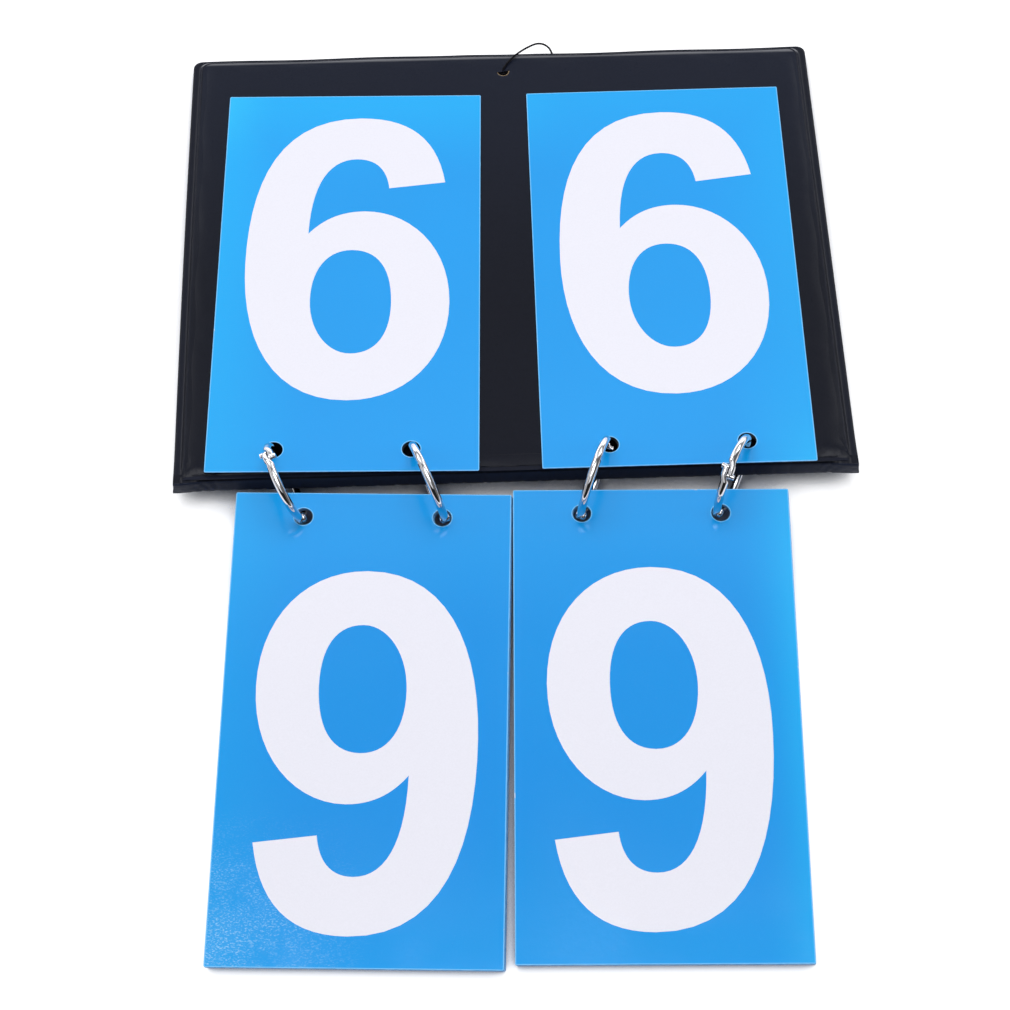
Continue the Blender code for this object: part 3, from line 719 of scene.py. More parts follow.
# Stage, string, panels, spine, rings and leaves
class SCOREBOARD_OT_stage(bpy.types.Operator):
    """Sets the camera, the pale floor and the soft boxes."""
    bl_idname = "scoreboard.stage"
    bl_label = "Stage"

    def execute(self, context):
        scene = context.scene
        stage = look().stage
        camera = bpy.data.cameras.new("view")
        camera.sensor_width = 36.0
        camera.lens = CAMERA_LENS
        camera.clip_start = 0.05
        camera.clip_end = 20.0
        pitch, heading, roll = (math.radians(a) for a in CAMERA_TURN)
        ahead = Vector((math.sin(heading), math.cos(heading), 0.0))
        right = Vector((ahead.y, -ahead.x, 0.0))
        forward = ahead * math.cos(pitch) - Vector((0.0, 0.0, 1.0)) * math.sin(pitch)
        up = right.cross(forward)
        scene.camera = put("view", camera)
        scene.camera.matrix_world = placed(
            right * math.cos(roll) + up * math.sin(roll), up * math.cos(roll) - right * math.sin(roll), -forward,
            Vector(CAMERA_PLACE) * MM)

        bm = bmesh.new()
        bmesh.ops.create_grid(bm, x_segments=2, y_segments=2, size=4.0)
        floor = piece("floor", bm, ("floor_paper",), None, None, 32.0)

        for name, place, target, width, power in (
                ("top_box", (-0.05, 0.48, 1.45), (0.0, 0.02, 0.0), 1.3, stage.key),
                ("left_box", (-1.15, 0.10, 0.80), (0.0, 0.0, 0.0), 0.7, stage.fill),
                ("right_box", (1.15, -0.05, 0.80), (0.0, 0.0, 0.0), 0.7, stage.fill)):
            light = bpy.data.lights.new(name, "AREA")
            light.shape = "RECTANGLE"
            light.size = width
            light.size_y = 1.0
            light.energy = power
            lamp = put(name, light)
            lamp.location = place
            lamp.rotation_euler = (Vector(target) - Vector(place)).to_track_quat("-Z", "Y").to_euler()
            lamp.visible_glossy = False
        self.room(scene, stage)
        scene.view_settings.view_transform = "Standard"
        return {"FINISHED"}

    def room(self, scene, stage):
        """A white room, dimmer on its far side, with bright panels overhead and a dark doorway behind the viewer."""
        scene.world = bpy.data.worlds.new("room")
        scene.world.use_nodes = True
        mix = Recipe(scene.world.node_tree, "Generated")
        ramp = mix.ramp
        x, y, height = (mix.axis(name) for name in "XYZ")
        wide = abs(x)
        far = ramp(y, 0.02, 0.30)
        strip = ramp(height, 0.905, 0.930) * ramp(height, 0.968, 0.950) * far * 0.74
        haze = ramp(height, 0.97, 0.60) * far * 0.12 + far * 0.14
        low_far = ramp(y, 0.10, 0.55) * ramp(height, 0.70, 0.50) * 0.62
        door = ramp(y, -0.28, -0.34) * ramp(wide + y * 0.95, 0.04, -0.02)
        door = door * ramp(height, 0.67, 0.63) * ramp(height, -0.20, -0.14) * 0.98
        low_side = ramp(wide, 0.50, 0.75) * ramp(height, 0.60, 0.42) * 0.40
        frames = ramp(abs(wide + y * 1.8), 0.13, 0.05) * ramp(height, 0.86, 0.74) * 0.85
        frames = frames | ramp(abs(wide - y * 1.1), 0.10, 0.04) * ramp(height, 0.74, 0.66) * 0.8
        skirting = ramp(height, 0.13, 0.09) * 0.75
        wall = ramp(x, 0.20, 0.30) | ramp(abs(x + 0.50), 0.16, 0.11)
        dark = door | (strip + haze | (low_far | low_side))
        dark = dark | (frames | skirting)
        dark = dark | wall * ramp(y, 0.36, 0.26) * ramp(height, 0.05, 0.15) * 0.84
        over = ramp(y, 0.16, 0.0) * ramp(y, -0.44, -0.34) * ramp(height, 0.74, 0.86)
        over = over * ramp(wide, 0.42, 0.26) * 4.2
        beside = ramp(wide, 0.24, 0.56) * ramp(height, 0.42, 0.56) * ramp(height, 0.92, 0.84)
        beside = beside * ramp(y, 0.34, 0.44) * 4.5
        backdrop = ramp(y, 0.70, 0.82) * ramp(height, 0.44, 0.18) * 2.2
        bright = over | (beside | backdrop)
        picture = 1.0 + (bright - dark) * mix.wire(mix.node("ShaderNodeLightPath"), "Is Glossy Ray")
        ambient, shown = (mix.node("ShaderNodeBackground", None, Color=color, Strength=strength).outputs[0]
                          for color, strength in (((1.0, 1.0, 1.0), stage.ambient), (picture, 1.0)))
        mix.output("ShaderNodeOutputWorld", mix.seen(), ambient, shown)


# Places along the string in millimetres: out of the front hole, over the far edge and into the back hole
STRING_ROUTE = (
    (0.7, 176.872, 5.246), (0.8, 177.272, 5.816), (1.15, 177.972, 6.176), (2.3, 180.0, 6.076),
    (5.0, 183.4, 5.895), (8.1, 186.2, 5.746), (11.3, 188.6, 5.368), (14.3, 190.4, 4.722),
    (17.0, 190.7, 3.906), (19.1, 189.4, 3.175), (20.1, 187.4, 2.565), (20.6, 184.3, 2.696),
    (20.5, 178.3, 2.951), (18.9, 171.8, 3.227), (14.6, 166.7, 3.444), (8.8, 164.4, 3.542),
    (3.7, 165.4, 3.499), (1.1, 168.6, 3.363), (0.68, 172.4, 3.202), (0.7, 175.111, 3.016),
    (0.7, 175.961, 2.786), (0.7, 176.511, 2.286), (0.7, 176.711, 1.736))
STRING_THICK = 0.8 * MM
KNOT_THICK = 0.36 * MM
KNOT_STEPS = 132


def laid_thread(bm, points, radius, closed=False, around=18):
    """A thread of three twisted strands along the points."""
    count = len(points)
    twist = look().string.twist
    ahead = [points[(i + 1) % count] - points[i - 1] if closed or 0 < i < count - 1
             else points[min(i + 1, count - 1)] - points[max(i - 1, 0)] for i in range(count)]
    side = ahead[0].orthogonal().normalized()
    rows = []
    travelled = 0.0
    for i, (point, way) in enumerate(zip(points, ahead)):
        way = way.normalized()
        side = (side - way * side.dot(way)).normalized()
        up = way.cross(side)
        if i:
            travelled += (point - points[i - 1]).length
        row = []
        for k in range(around):
            turn = 2 * math.pi * k / around
            lobe = 0.80 + 0.20 * abs(math.cos(1.5 * (turn - 2 * math.pi * travelled / twist)))
            row.append(bm.verts.new(point + (side * math.cos(turn) + up * math.sin(turn)) * radius * lobe))
        rows.append(row)
    skin(bm, rows + rows[:1] if closed else rows, capped=not closed)


def knot(node, middle, r, h):
    """An overhand knot, drawn up tight."""
    points = []
    for i in range(KNOT_STEPS):
        t = 2 * math.pi * i / KNOT_STEPS
        reach = (r - KNOT_THICK) * (0.66 + 0.34 * math.cos(3 * t))
        points.append(middle + Vector((reach * math.cos(2 * t), reach * math.sin(2 * t),
                                       (h - KNOT_THICK) * math.sin(3 * t))))
    bm = bmesh.new()
    laid_thread(bm, points, KNOT_THICK, True, 14)
    return piece(node + "_wound", bm, ("thread",), node, "cord_black", 60.0)


class SCOREBOARD_OT_string(bpy.types.Operator):
    """Lays the tie string out of the front hole, round the far edge and into the back hole."""
    bl_idname = "scoreboard.string"
    bl_label = "Tie string"

    def execute(self, context):
        points = curved([Vector(p) * MM for p in STRING_ROUTE], 16)
        bm = bmesh.new()
        laid_thread(bm, points, STRING_THICK / 2)
        string = piece("tie_string", bm, ("thread",), "tie_cord", "cord_black", 60.0)
        for node in ("front_knot", "back_knot"):
            low, high = (Vector(corner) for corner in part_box(node))
            knot(node, (low + high) / 2, (high.x - low.x) / 2, (high.z - low.z) / 2)
        return {"FINISHED"}


# Covers: share of the rim's width, way in from it and height, in millimetres above the lining's face
COVER_TOP = (
    (0.0, 0.0, 0.38), (0.0, 0.0, 0.52), (0.05, 0.0, 0.59), (0.35, 0.0, 0.60), (0.55, 0.0, 0.53), (0.75, 0.0, 0.51),
    (0.93, 0.0, 0.58), (1.0, 0.04, 0.74), (1.0, 0.16, 0.94), (1.0, 0.40, 1.11), (1.0, 0.80, 1.24), (1.0, 1.4, 1.37),
    (1.0, 2.2, 1.50), (1.0, 3.2, 1.62), (1.0, 4.4, 1.72), (1.0, 5.6, 1.78), (1.0, 7.0, 1.80))
# How many of these rows lie on the pressed rim
RIM_ROWS = 7
COVER_UNDER = ((0.0, 0.0, 0.35), (1.0, 0.25, 0.35), (1.0, 0.7, 1.45), (1.0, 1.2, 1.55))
# Width of the pressed rim at the sides, at the far edge and at the near edge
RIM_SIDE = 2.7
RIM_FAR = 0.9
RIM_NEAR = 0.1
# Where the padding is pinched along the far edge
FAR_DIPS = (-79.5, -31.1, 36.2, 86.7)
# Half the width of a panel, and its depth
PANEL_HALF = 120.0
PANEL_DEEP = 196.0
# Radius of a panel's far corners, at its cover and at its flat layers
COVER_ROUND = 3.2
FAR_ROUND = 2.9
# Where the front cover's sheet is cut, the spine's strip goes on
SEAM = 4.4
# The front cover's face as it rolls over its near edge: way in from the edge and height, in the lining's frame
ROLL = ((12.0, 1.80), (9.9, 1.80), (8.32, 1.75), (7.32, 1.642), (6.33, 1.418), (5.35, 1.081), (4.374, 0.604),
        (3.413, -0.149), (2.754, -0.945), (2.298, -1.78), (2.10, -2.79))
# Heights above the lining's face, in millimetres: a cover's flat face and its back, the pressed rim, the flat layers
FACE = 1.80
FACE_BACK = 1.55
RIM_TOP = 0.60
LAYERS = {"board": (0.36, 1.44), "lining": (0.0, 0.25)}
# Thickness of the sheet, and how far the padding rises above the rim
SHEET = 0.25
PADDING = 1.2
# Near edge of each flat layer, and how far the boards stop short of the other sides
BOARD_NEAR = {"front": 8.4, "back": 6.0}
LINING_NEAR = {"back": 0.3, "front": 2.5}
BOARD_INSET = 7.6
# A hole smaller than this is the string's. The front sheet is punched wider there than the board below it
STRING_HOLE = 2.5 * MM
SHEET_PUNCH = 0.60
BOARD_PUNCH = 0.25
# Where the waves of each slack sheet start
SLACK = {"front": 1.3, "back": 4.1}


def curved(knots, steps):
    """Points on a smooth curve through the knots."""
    points = []
    for i in range(len(knots) - 1):
        p0, p1, p2, p3 = (knots[min(max(k, 0), len(knots) - 1)] for k in (i - 1, i, i + 1, i + 2))
        for j in range(steps):
            t = j / steps
            points.append(0.5 * (2 * p1 + (p2 - p0) * t + (2 * p0 - 5 * p1 + 4 * p2 - p3) * t * t
                                 + (3 * p1 - 3 * p2 + p3 - p0) * t * t * t))
    points.append(knots[-1])
    return points


ROLL_LINE = np.array(curved([np.array(knot) for knot in ROLL], 8))[::-1]


def rolled(y):
    """How far the front cover's face has sunk into the roll at y from the near edge."""
    return FACE - float(np.interp(y, ROLL_LINE[:, 0], ROLL_LINE[:, 1]))


def smooth(value, low, high):
    t = min(1.0, max(0.0, (value - low) / (high - low)))
    return t * t * (3.0 - 2.0 * t)


def spread(x, y):
    """How far the rim has splayed to the side at x, seen from above, y from the near edge."""
    at = smooth(abs(x), PANEL_HALF - 12, PANEL_HALF - 3)
    along = min(1.0, max(0.0, y / PANEL_DEEP))
    near = smooth(y, 14.0, -2.0)
    if x < 0:
        return -at * (0.25 + 0.65 * (1 - along) + 0.35 * math.sin(math.pi * along) + 0.15 * near)
    return at * (0.75 - 1.5 * along + 0.25 * near)


def sunk(x, y, seed):
    """How far the sheet lies below its usual face, where it is slack and at the near corners."""
    wave = 0.5 + 0.5 * math.sin(x * 0.061 + seed) * math.sin(y * 0.047 + x * 0.023 + seed)
    corner = min(1.0, math.hypot(PANEL_HALF - abs(x), y) / 10)
    return 0.075 * wave + 0.38 * (1.0 - corner) ** 2


def shifted(plate, x, y, front):
    """Where a point of a panel's outline really lies, in metres: splayed at the sides, drawn in near the spine."""
    hand = 1.0 if front else -1.0
    deep = plate.size[1] / MM
    far = smooth(y, deep - 14, deep - 2) * smooth(hand * x, 6, -16) * 0.65
    far += smooth(y, deep - 14, deep - 2) * 0.18 * math.sin(x * 0.11 + 0.7)
    near = 0.0 if front else (1.0 - smooth(abs(x), PANEL_HALF - 16, PANEL_HALF - 2)) * smooth(y, 7.0, 0.0)
    return ((x + hand * spread(hand * x, y)) * MM, (y + far + near) * MM)


def cover_loop(plate, share, extra, wave, front):
    """Points round the cover at one way in from its edge, anticlockwise."""
    half = plate.size[0] / MM / 2
    deep = plate.size[1] / MM
    near = 0.05 if front else 1.5
    corners = []
    for sx, sy, start, r in ((-1, -1, 180, near), (1, -1, 270, near), (1, 1, 0, COVER_ROUND), (-1, 1, 90, COVER_ROUND)):
        x = sx * (half - share * RIM_SIDE - extra - r)
        y = (SEAM if front else share * RIM_NEAR + extra * 1.2) + r if sy < 0 else deep - share * RIM_FAR - extra - r
        corners.append([(x + r * math.cos(math.radians(start + 15 * i)),
                         y + r * math.sin(math.radians(start + 15 * i))) for i in range(7)])
    points = []
    for k, count in enumerate((96, 80, 96, 80)):
        (x0, y0), (x1, y1) = corners[k][-1], corners[(k + 1) % 4][0]
        points += corners[k]
        points += [(x0 + (x1 - x0) * i / count, y0 + (y1 - y0) * i / count) for i in range(1, count)]
    moved = []
    for x, y in points:
        pull = 0.0
        if wave:
            pull = 0.30 * extra * math.sin(x * 0.21 + y * 0.17 + wave) * min(1.0, extra)
            if y > deep - 12:
                pull += 0.8 * sum(math.exp(-((x - at) / 2.6) ** 2) for at in FAR_DIPS) * min(extra, 1.0)
            pull *= smooth(y, SEAM, SEAM + 4)
        cx = max(-half + 12, min(half - 12, x))
        cy = max(12, min(deep - 12, y))
        away = math.hypot(x - cx, y - cy) or 1.0
        moved.append(shifted(plate, x + (cx - x) / away * pull * 0.5, y + (cy - y) / away * pull, front))
    return moved


def punched(plate, front, wider):
    """The plate's holes. The string's hole in the front panel is wider than the solid's by that many millimetres."""
    return [(x, y, r + (wider * MM if front and r < STRING_HOLE else 0.0)) for x, y, r in plate.holes()]


def cover_piece(side):
    """The padded outer sheet of a panel, with its pressed rim, in the frame of its lining."""
    front = side == "front"
    plate = Plate(side + "_lining", 1.0 if front else -1.0)
    holes = punched(plate, front, SHEET_PUNCH)
    seed = SLACK[side]

    def slack(x, y, z):
        """Height of the outer face in metres, let down where the sheet is slack and where it rolls over."""
        if z <= RIM_TOP:
            return z * MM
        share = min(1.0, (z - RIM_TOP) / PADDING)
        return (z - share * (sunk(x / MM, y / MM, seed) + (rolled(y / MM) if front else 0.0))) * MM

    def below(x, y, z=FACE_BACK):
        """Height of the sheet's back, in metres."""
        return min(z * MM, slack(x, y, FACE) - SHEET * MM)

    def pressed(x, y):
        """Height of the face in metres, let down round the holes."""
        near = min(math.hypot(x - hx, y - hy) - r for hx, hy, r in holes) / MM
        return slack(x, y, FACE) - 0.13 * MM * max(0.0, 1.0 - near / 0.5) ** 2 * smooth(y, 4.6 * MM, 5.2 * MM)

    bm = bmesh.new()
    rows, under = ([[bm.verts.new((x, y, height(x, y, z))) for x, y in cover_loop(plate, share, extra, wave, front)]
                    for share, extra, z in table]
                   for table, wave, height in ((COVER_TOP, seed, slack), (COVER_UNDER, 0, below)))
    skin(bm, rows[:RIM_ROWS], 1)
    skin(bm, rows[RIM_ROWS - 1:])
    skin(bm, under, 1)
    skin(bm, [under[0], rows[0]], 1)

    rims = [[circle(x, y, r + step * MM) for x, y, r in holes] for step in (0.0, 0.2, 0.5 if front else 0.6)]
    grid = [((i / 48 - 0.5) * plate.size[0], j / 40 * plate.size[1]) for i in range(2, 47) for j in range(2, 39)]
    for row, circles, extra, height in ((rows[-1], rims[0] + rims[1] + rims[2], grid, pressed),
                                        (under[-1], rims[0], grid[::3], below)):
        loop = [(v.co.x, v.co.y) for v in row]

        def classify(points):
            found = np.where(odd_inside(points, [loop]), 0, -1)
            found[odd_inside(points, rims[0])] = -1
            return found

        flat_side(bm, [loop, *circles], extra, classify, lambda x, y: (x, y, height(x, y)))
    for loop in rims[0]:
        skin(bm, [[bm.verts.new((x, y, height(x, y))) for x, y in loop] for height in (pressed, below)])
    plate.settle(bm, side + "_cover_padded", ("cover_sheet", "weld_rim"), side + "_cover", "cover_sheet", 50.0)


def flat_board(side, layer, near, inset, made, slot):
    """A flat layer of a panel with its holes: its near edge and way in at the other sides, in millimetres."""
    front = side == "front"
    plate = Plate(side + "_lining", 1.0 if front else -1.0)
    rounds = [circle(*hole) for hole in punched(plate, front, BOARD_PUNCH)]
    half = plate.size[0] / MM / 2 - inset
    deep = plate.size[1] / MM - inset * 0.5
    rise = deep - FAR_ROUND - near
    edge = [(-half + 2 * half * i / 60, near) for i in range(61)]
    edge += [(half, near + rise * i / 20) for i in range(1, 20)]
    for hand in (1, -1):
        for t in [math.radians(15 * i) for i in range(7)][::hand]:
            edge.append((hand * (half - FAR_ROUND + FAR_ROUND * math.cos(t)), deep - FAR_ROUND * (1 - math.sin(t))))
        if hand > 0:
            edge += [((half - FAR_ROUND) * (1 - i / 30), deep) for i in range(1, 60)]
    edge += [(-half, near + rise * (20 - i) / 20) for i in range(1, 20)]
    loops = [[shifted(plate, x, y, front) for x, y in edge], *rounds]
    bm = bmesh.new()
    for z in LAYERS[layer]:
        flat_side(bm, loops, [], lambda p: np.where(odd_inside(p, loops), 0, -1), lambda x, y: (x, y, z * MM))
    for loop in loops:
        skin(bm, [row_at(bm, loop, z * MM) for z in LAYERS[layer]])
    node = side + "_" + layer
    plate.settle(bm, node + "_cut", (made,), node, slot, 40.0)


class SCOREBOARD_OT_panels(bpy.types.Operator):
    """Wraps both panels in their padded covers and finishes their boards and linings."""
    bl_idname = "scoreboard.panels"
    bl_label = "Panels"

    def execute(self, context):
        for side in SLACK:
            cover_piece(side)
        for side, near in BOARD_NEAR.items():
            flat_board(side, "board", near, BOARD_INSET, "chipboard", "board_grey")
        for side, near in LINING_NEAR.items():
            flat_board(side, "lining", near, 0.0, "cover_lining", "cover_sheet")
        return {"FINISHED"}


# The strip below the roll in section, and its flat ends, (y, z) in millimetres from SPINE_BACK and the table
STRIP_UNDER = ((3.2, 9.7), (2.95, 8.4), (2.98, 7.5), (3.2, 6.9), (3.9, 6.55), (4.9, 6.48))
STRIP_END = ((2.3, 14.25), (1.9, 13.9), (1.85, 13.0), (1.9, 11.6), (2.05, 10.0), (2.22, 8.4), (2.42, 7.3), (2.8, 6.75),
             (3.9, 6.6), (4.9, 6.55))
STRIP_THICK = 0.35
STRIP_ROWS = 46
# Height below which the strip is dull and its tone painted paler to lift its shade, the Y that its section is drawn
# from, and how far its ends stick out
FOLD_TOP = 12.4
SPINE_BACK = -11.2
TAB_REACH = 0.7
# The strip's ends have points closer together over this length
STRIP_CORNER = 12.0


def resampled(points, count):
    """The line through the points at even steps."""
    lengths = np.concatenate([[0.0], np.cumsum([(b - a).length for a, b in zip(points, points[1:])])])
    at = np.linspace(0.0, lengths[-1], count)
    return np.array([np.interp(at, lengths, [p[i] for p in points]) for i in range(3)]).T


def creases():
    """Place, depth, width and slant of each crease in the spine, in millimetres."""
    gap = look().cover.crease_gap / MM
    found = []
    x = -PANEL_HALF + 9.0
    while x < PANEL_HALF - 7.0:
        vary = math.sin(len(found) * 12.9898) * 43758.5453
        vary -= math.floor(vary)
        found.append((x, 0.10 + 0.22 * vary, 0.40 + 0.5 * ((vary * 7.3) % 1.0), 1.6 * (vary - 0.5)))
        x += gap * (0.72 + 0.55 * ((vary * 3.7) % 1.0))
    return np.array(found).T


class SCOREBOARD_OT_spine(bpy.types.Operator):
    """Rolls the creased strip of sheet from the front cover round to the back panel."""
    bl_idname = "scoreboard.spine"
    bl_label = "Spine"

    def execute(self, context):
        lining = Plate("front_lining", 1.0).matrix

        def local(y, z):
            return lining @ Vector((0.0, y * MM, z * MM)) / MM

        under, flat = ([Vector((0.0, y + SPINE_BACK, z)) for y, z in table] for table in (STRIP_UNDER, STRIP_END))
        roll = [local(SEAM, FACE - rolled(SEAM))] + [local(y, z) for y, z in ROLL_LINE[::-1] if y < SEAM - 0.05]
        middle = resampled(roll + curved([roll[-1]] + under, 4)[1:], STRIP_ROWS)
        end = resampled([local(SEAM - 3.2 * i / 8, 0.6) for i in range(9)] + curved(flat, 4), STRIP_ROWS)
        outs = np.array([Vector((0.0, w[2], -w[1])).normalized()[:] for w in np.gradient(middle, axis=0)])
        place, depth, width, slant = creases()
        even = PANEL_HALF - STRIP_CORNER
        xs = np.concatenate([np.linspace(-PANEL_HALF, -even, 40)[:-1], np.linspace(-even, even, 330),
                             np.linspace(even, PANEL_HALF, 40)[1:]])
        rim_at = [share * RIM_SIDE + extra for share, extra, _ in COVER_TOP]
        rim_z = [z for _, _, z in COVER_TOP]
        bm = bmesh.new()
        rows = []
        for s in range(STRIP_ROWS):
            share = s / (STRIP_ROWS - 1)
            reach = math.sin(math.pi * share) ** 0.5 if 0 < s < STRIP_ROWS - 1 else 0.0
            from_seam = (Vector(middle[s]) - Vector(middle[0])).length
            outer = []
            inner = []
            for x in xs:
                edge = PANEL_HALF - abs(x)
                rim = min(1.0, (FACE - float(np.interp(edge, rim_at, rim_z))) / PADDING)
                pinch = smooth(edge, 11.0, 2.0) * 0.75 * smooth(share, 0.0, 0.35)
                flat_share = max(0.0, rim + (1 - rim) * pinch)
                at = place + slant * (share - 0.5)
                dent = float((depth * np.exp(-((x - at) / width) ** 2)).sum()) * reach
                dent += 0.06 * math.sin(x * 0.33 + 3 * share) * reach
                dent += 0.10 * math.sin(abs(x) * 1.9 + share * 14) * smooth(edge, 16.0, 8.0) * reach
                down = sunk(x, SEAM - from_seam, SLACK["front"]) * (1 - smooth(share, 0.0, 0.4))
                point = middle[s] - outs[s] * dent * (1 - rim) - np.array([0.0, 0.0, down])
                point = point * (1 - flat_share) + end[s] * flat_share
                splay = spread(x, SEAM - from_seam) + math.copysign(
                    TAB_REACH * smooth(edge, 8.0, 0.0) * smooth(share, 0.35, 0.8), x)
                thick = STRIP_THICK * (1 - 0.3 * rim)
                outer.append(Vector((x + splay, point[1], point[2])))
                inner.append(Vector((x + splay, point[1] - outs[s][1] * thick, point[2] - outs[s][2] * thick)))
            rows.append([bm.verts.new(p * MM) for p in outer + inner[::-1]])
        bare = len(xs)
        for one, two in zip(rows, rows[1:]):
            skin(bm, (one, two), int(one[bare // 2].co.z < FOLD_TOP * MM))
        for row in (rows[0], rows[-1]):
            for i in range(bare - 1):
                bm.faces.new((row[i], row[i + 1], row[2 * bare - 2 - i], row[2 * bare - 1 - i]))
        spine = piece("spine_strip", bm, ("cover_sheet", "cover_fold"), None, None, 50.0)
        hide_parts("spine_web")
        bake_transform(spine)
        return {"FINISHED"}


# Rings
RING_R = 14.0
WIRE_R = 1.45
WIRE_STEP = math.radians(3.0)
HINGE = math.radians(-112.0)
CLASPS = {1: 22.0, 2: 106.0, 3: 102.0, 4: -26.0}
# Distance from the split, way to the side, half width and half height, in millimetres
CLASP_END = (
    (-2.15, 1.22, 0.45, 0.50), (-2.05, 1.22, 0.72, 0.80), (-1.8, 1.20, 0.90, 1.00), (-1.0, 1.16, 1.00, 1.12),
    (0.0, 1.10, 1.06, 1.22), (1.2, 1.02, 1.10, 1.30), (2.2, 0.78, 1.20, 1.38), (3.0, 0.40, 1.34, 1.44),
    (3.7, 0.10, 1.43, 1.45), (4.2, 0.0, 1.45, 1.45))
# The clasp's barrel: its distance from the split, then way to the side and radius
CLASP_BAR = 1.45
CLASP_BAR_ROWS = (
    (0.12, 0.60), (0.16, 0.84), (0.30, 1.00), (0.80, 1.00), (0.90, 0.86), (1.00, 0.86), (1.10, 1.00), (1.85, 1.00),
    (1.95, 0.86), (2.05, 0.86), (2.15, 1.00), (2.65, 1.00), (2.80, 0.86), (2.84, 0.60))
# Distance from the pin, way to the side, half width and half height
LUG_END = (
    (4.6, 0.0, 1.45, 1.45), (4.0, 0.04, 1.42, 1.46), (3.4, 0.18, 1.28, 1.48), (2.8, 0.46, 0.98, 1.49),
    (2.2, 0.70, 0.70, 1.48), (1.6, 0.75, 0.66, 1.5), (0.8, 0.75, 0.65, 1.5), (0.0, 0.75, 0.63, 1.4))
# Way to the side from the ring's middle, and radius, of a lug and of one side of a rivet
LUG_ROWS = ((0.08, 1.46), (0.14, 1.62), (0.26, 1.69), (1.18, 1.69), (1.34, 1.60), (1.41, 1.42), (1.42, 1.2))
RIVET_ROWS = (
    (1.50, 0.70), (1.50, 1.16), (1.54, 1.22), (1.62, 1.22), (1.72, 1.12), (1.81, 0.92), (1.87, 0.62), (1.89, 0.3))
# Cosine and sine of the turn from the line between the ring's joints to the ring's own Y
RING_TURN = (0.99357, 0.11321)
AROUND = 28


def ring_place(number):
    """The ring's own frame, from its joints: X along its pin, Z to its top."""
    pin, sway = (JOINTS["ring_%d_%s" % (number, name)] for name in ("open", "sway"))
    at = Vector(pin["pos_m"])
    side = -Vector(pin["axis"]).normalized()
    way = (Vector(sway["pos_m"]) - at).normalized()
    across = side.cross(way)
    cosine, sine = RING_TURN
    along = cosine * way - sine * across
    up = sine * way + cosine * across
    middle = at - (along * math.sin(HINGE) + up * math.cos(HINGE)) * RING_R * MM
    return placed(*([value * MM for value in axis] for axis in (side, along, up)), middle)


def turns():
    return (2 * math.pi * k / AROUND for k in range(AROUND))


def wire_row(bm, angle, shift, wide, tall):
    out = Vector((0.0, math.sin(angle), math.cos(angle)))
    middle = out * RING_R + Vector((shift, 0.0, 0.0))
    return [bm.verts.new(middle + out * tall * math.sin(t) + Vector((wide * math.cos(t), 0, 0))) for t in turns()]


def turned(bm, rows, angle):
    """A body turned about the pin's direction at an angle on the ring, from (side, radius) rows."""
    middle = Vector((0.0, math.sin(angle), math.cos(angle))) * RING_R
    skin(bm, [[bm.verts.new(middle + Vector((x, r * math.cos(t), r * math.sin(t)))) for t in turns()]
              for x, r in rows], capped=True)


def ring_half(number, moving):
    """One plated half: clasp tongue with its barrel, collar, wire and lug."""
    split = math.radians(CLASPS[number])
    hinge = HINGE if moving else HINGE + 2 * math.pi
    way = 1.0 if hinge > split else -1.0
    hand = -1.0 if moving else 1.0
    first = split + way * CLASP_END[-1][0] / RING_R
    last = hinge - way * LUG_END[0][0] / RING_R
    count = max(4, round(abs(last - first) / WIRE_STEP))
    spans = [(split + way * distance / RING_R, hand * shift, wide, tall) for distance, shift, wide, tall in CLASP_END]
    spans += [(first + (last - first) * i / count, 0.0, WIRE_R, WIRE_R) for i in range(1, count)]
    spans += [(hinge - way * distance / RING_R, hand * shift, wide, tall) for distance, shift, wide, tall in LUG_END]
    bm = bmesh.new()
    skin(bm, [wire_row(bm, *span) for span in spans], capped=True)
    turned(bm, [(hand * x, r) for x, r in CLASP_BAR_ROWS], split - way * CLASP_BAR / RING_R)
    turned(bm, [(hand * x, r) for x, r in LUG_ROWS], hinge)
    bm.transform(ring_place(number))
    node = "ring_%d_%s_half" % (number, "moving" if moving else "fixed")
    piece(node + "_plated", bm, ("plated",), node, "ring_steel", 35.0)


def ring_rivet(number):
    """The hinge rivet, with a domed head on each side."""
    bm = bmesh.new()
    turned(bm, [*((-x, r) for x, r in RIVET_ROWS[::-1]), *RIVET_ROWS], HINGE)
    bm.transform(ring_place(number))
    node = "ring_%d_pin" % number
    piece(node + "_rivet", bm, ("plated",), node, "ring_steel", 40.0)


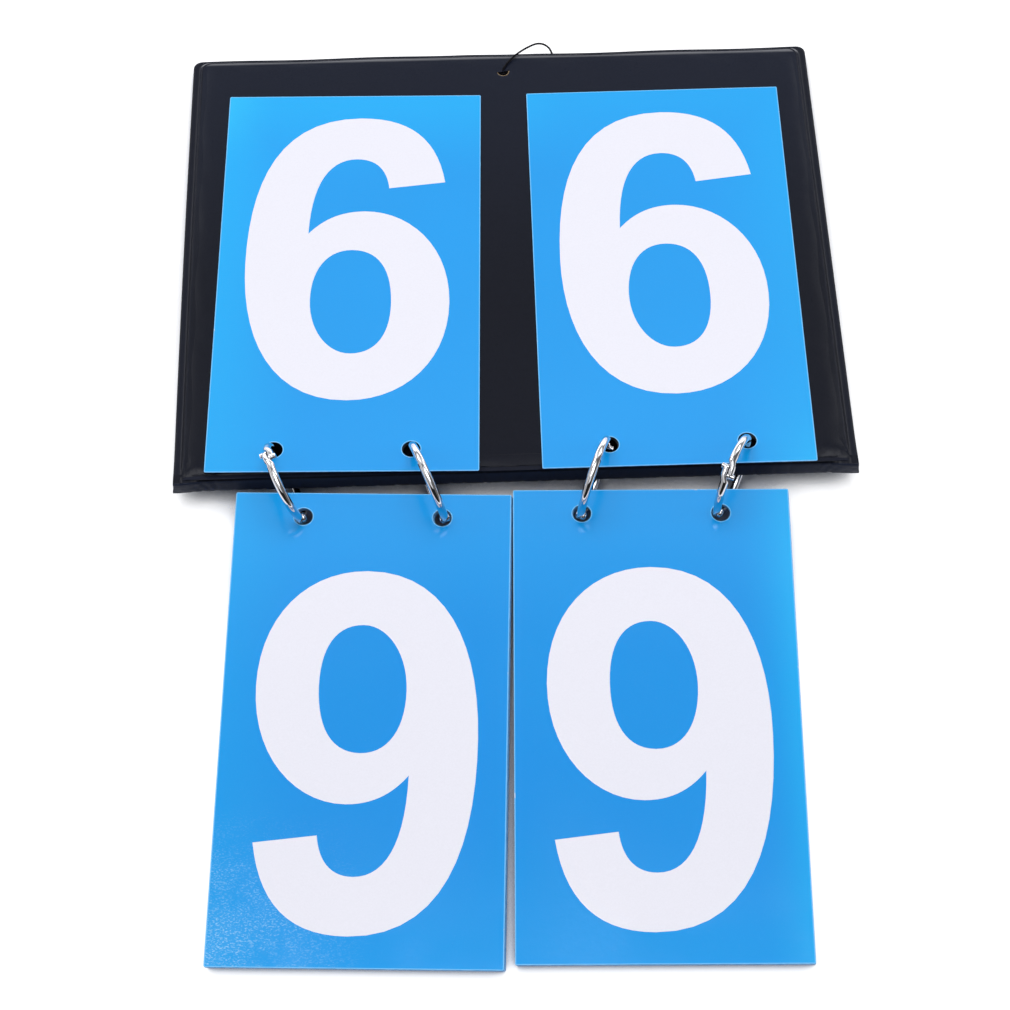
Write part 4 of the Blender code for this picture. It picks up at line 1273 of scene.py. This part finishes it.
class SCOREBOARD_OT_rings(bpy.types.Operator):
    """Bends the four plated rings, each of two halves on a rivet."""
    bl_idname = "scoreboard.rings"
    bl_label = "Rings"

    def execute(self, context):
        for number in CLASPS:
            ring_half(number, False)
            ring_half(number, True)
            ring_rivet(number)
        return {"FINISHED"}


class SCOREBOARD_OT_leaves(bpy.types.Operator):
    """Prints the leaves of both columns, on both sides."""
    bl_idname = "scoreboard.leaves"
    bl_label = "Leaves"

    def execute(self, context):
        lift = look().leaf.curl

        def loose(x, y):
            return lift * (max(0.0, (y - 0.86) / 0.14) * max(0.0, (abs(x) - 0.30) / 0.20)) ** 1.5

        for side in ("left", "right"):
            leaf_piece(side + "_front_leaf", 9, None, loose)
            for k in range(1, LEAF_COUNT + 1):
                under = 9 - k if k < LEAF_COUNT else None
                leaf_piece("%s_leaf_%02d" % (side, k), 10 - k, under, loose if k == 1 else None)
        return {"FINISHED"}


PIECES = (SCOREBOARD_OT_stage, SCOREBOARD_OT_string, SCOREBOARD_OT_panels, SCOREBOARD_OT_spine,
          SCOREBOARD_OT_rings, SCOREBOARD_OT_leaves)


class SCOREBOARD_PT_side(bpy.types.Panel):
    """Lists the pieces and the settings they follow."""
    bl_idname = "SCOREBOARD_PT_side"
    bl_label = "Scoreboard"
    bl_space_type = "VIEW_3D"
    bl_region_type = "UI"
    bl_category = "Scoreboard"

    def draw(self, context):
        for build in PIECES:
            self.layout.operator(build.bl_idname)
        for name, group in LOOKS.items():
            box = self.layout.box()
            box.label(text=name.capitalize())
            for prop in group.__annotations__:
                box.prop(getattr(context.scene.scoreboard, name), prop)


CLASSES = (*LOOKS.values(), ScoreboardLook, *PIECES, SCOREBOARD_PT_side)


def register():
    for cls in CLASSES:
        bpy.utils.register_class(cls)
    bpy.types.Scene.scoreboard = bpy.props.PointerProperty(type=ScoreboardLook)


def unregister():
    del bpy.types.Scene.scoreboard
    for cls in reversed(CLASSES):
        bpy.utils.unregister_class(cls)


def main():
    register()
    for build in PIECES:
        group, call = build.bl_idname.split(".")
        getattr(getattr(bpy.ops, group), call)()


if __name__ == "__main__":
    main()
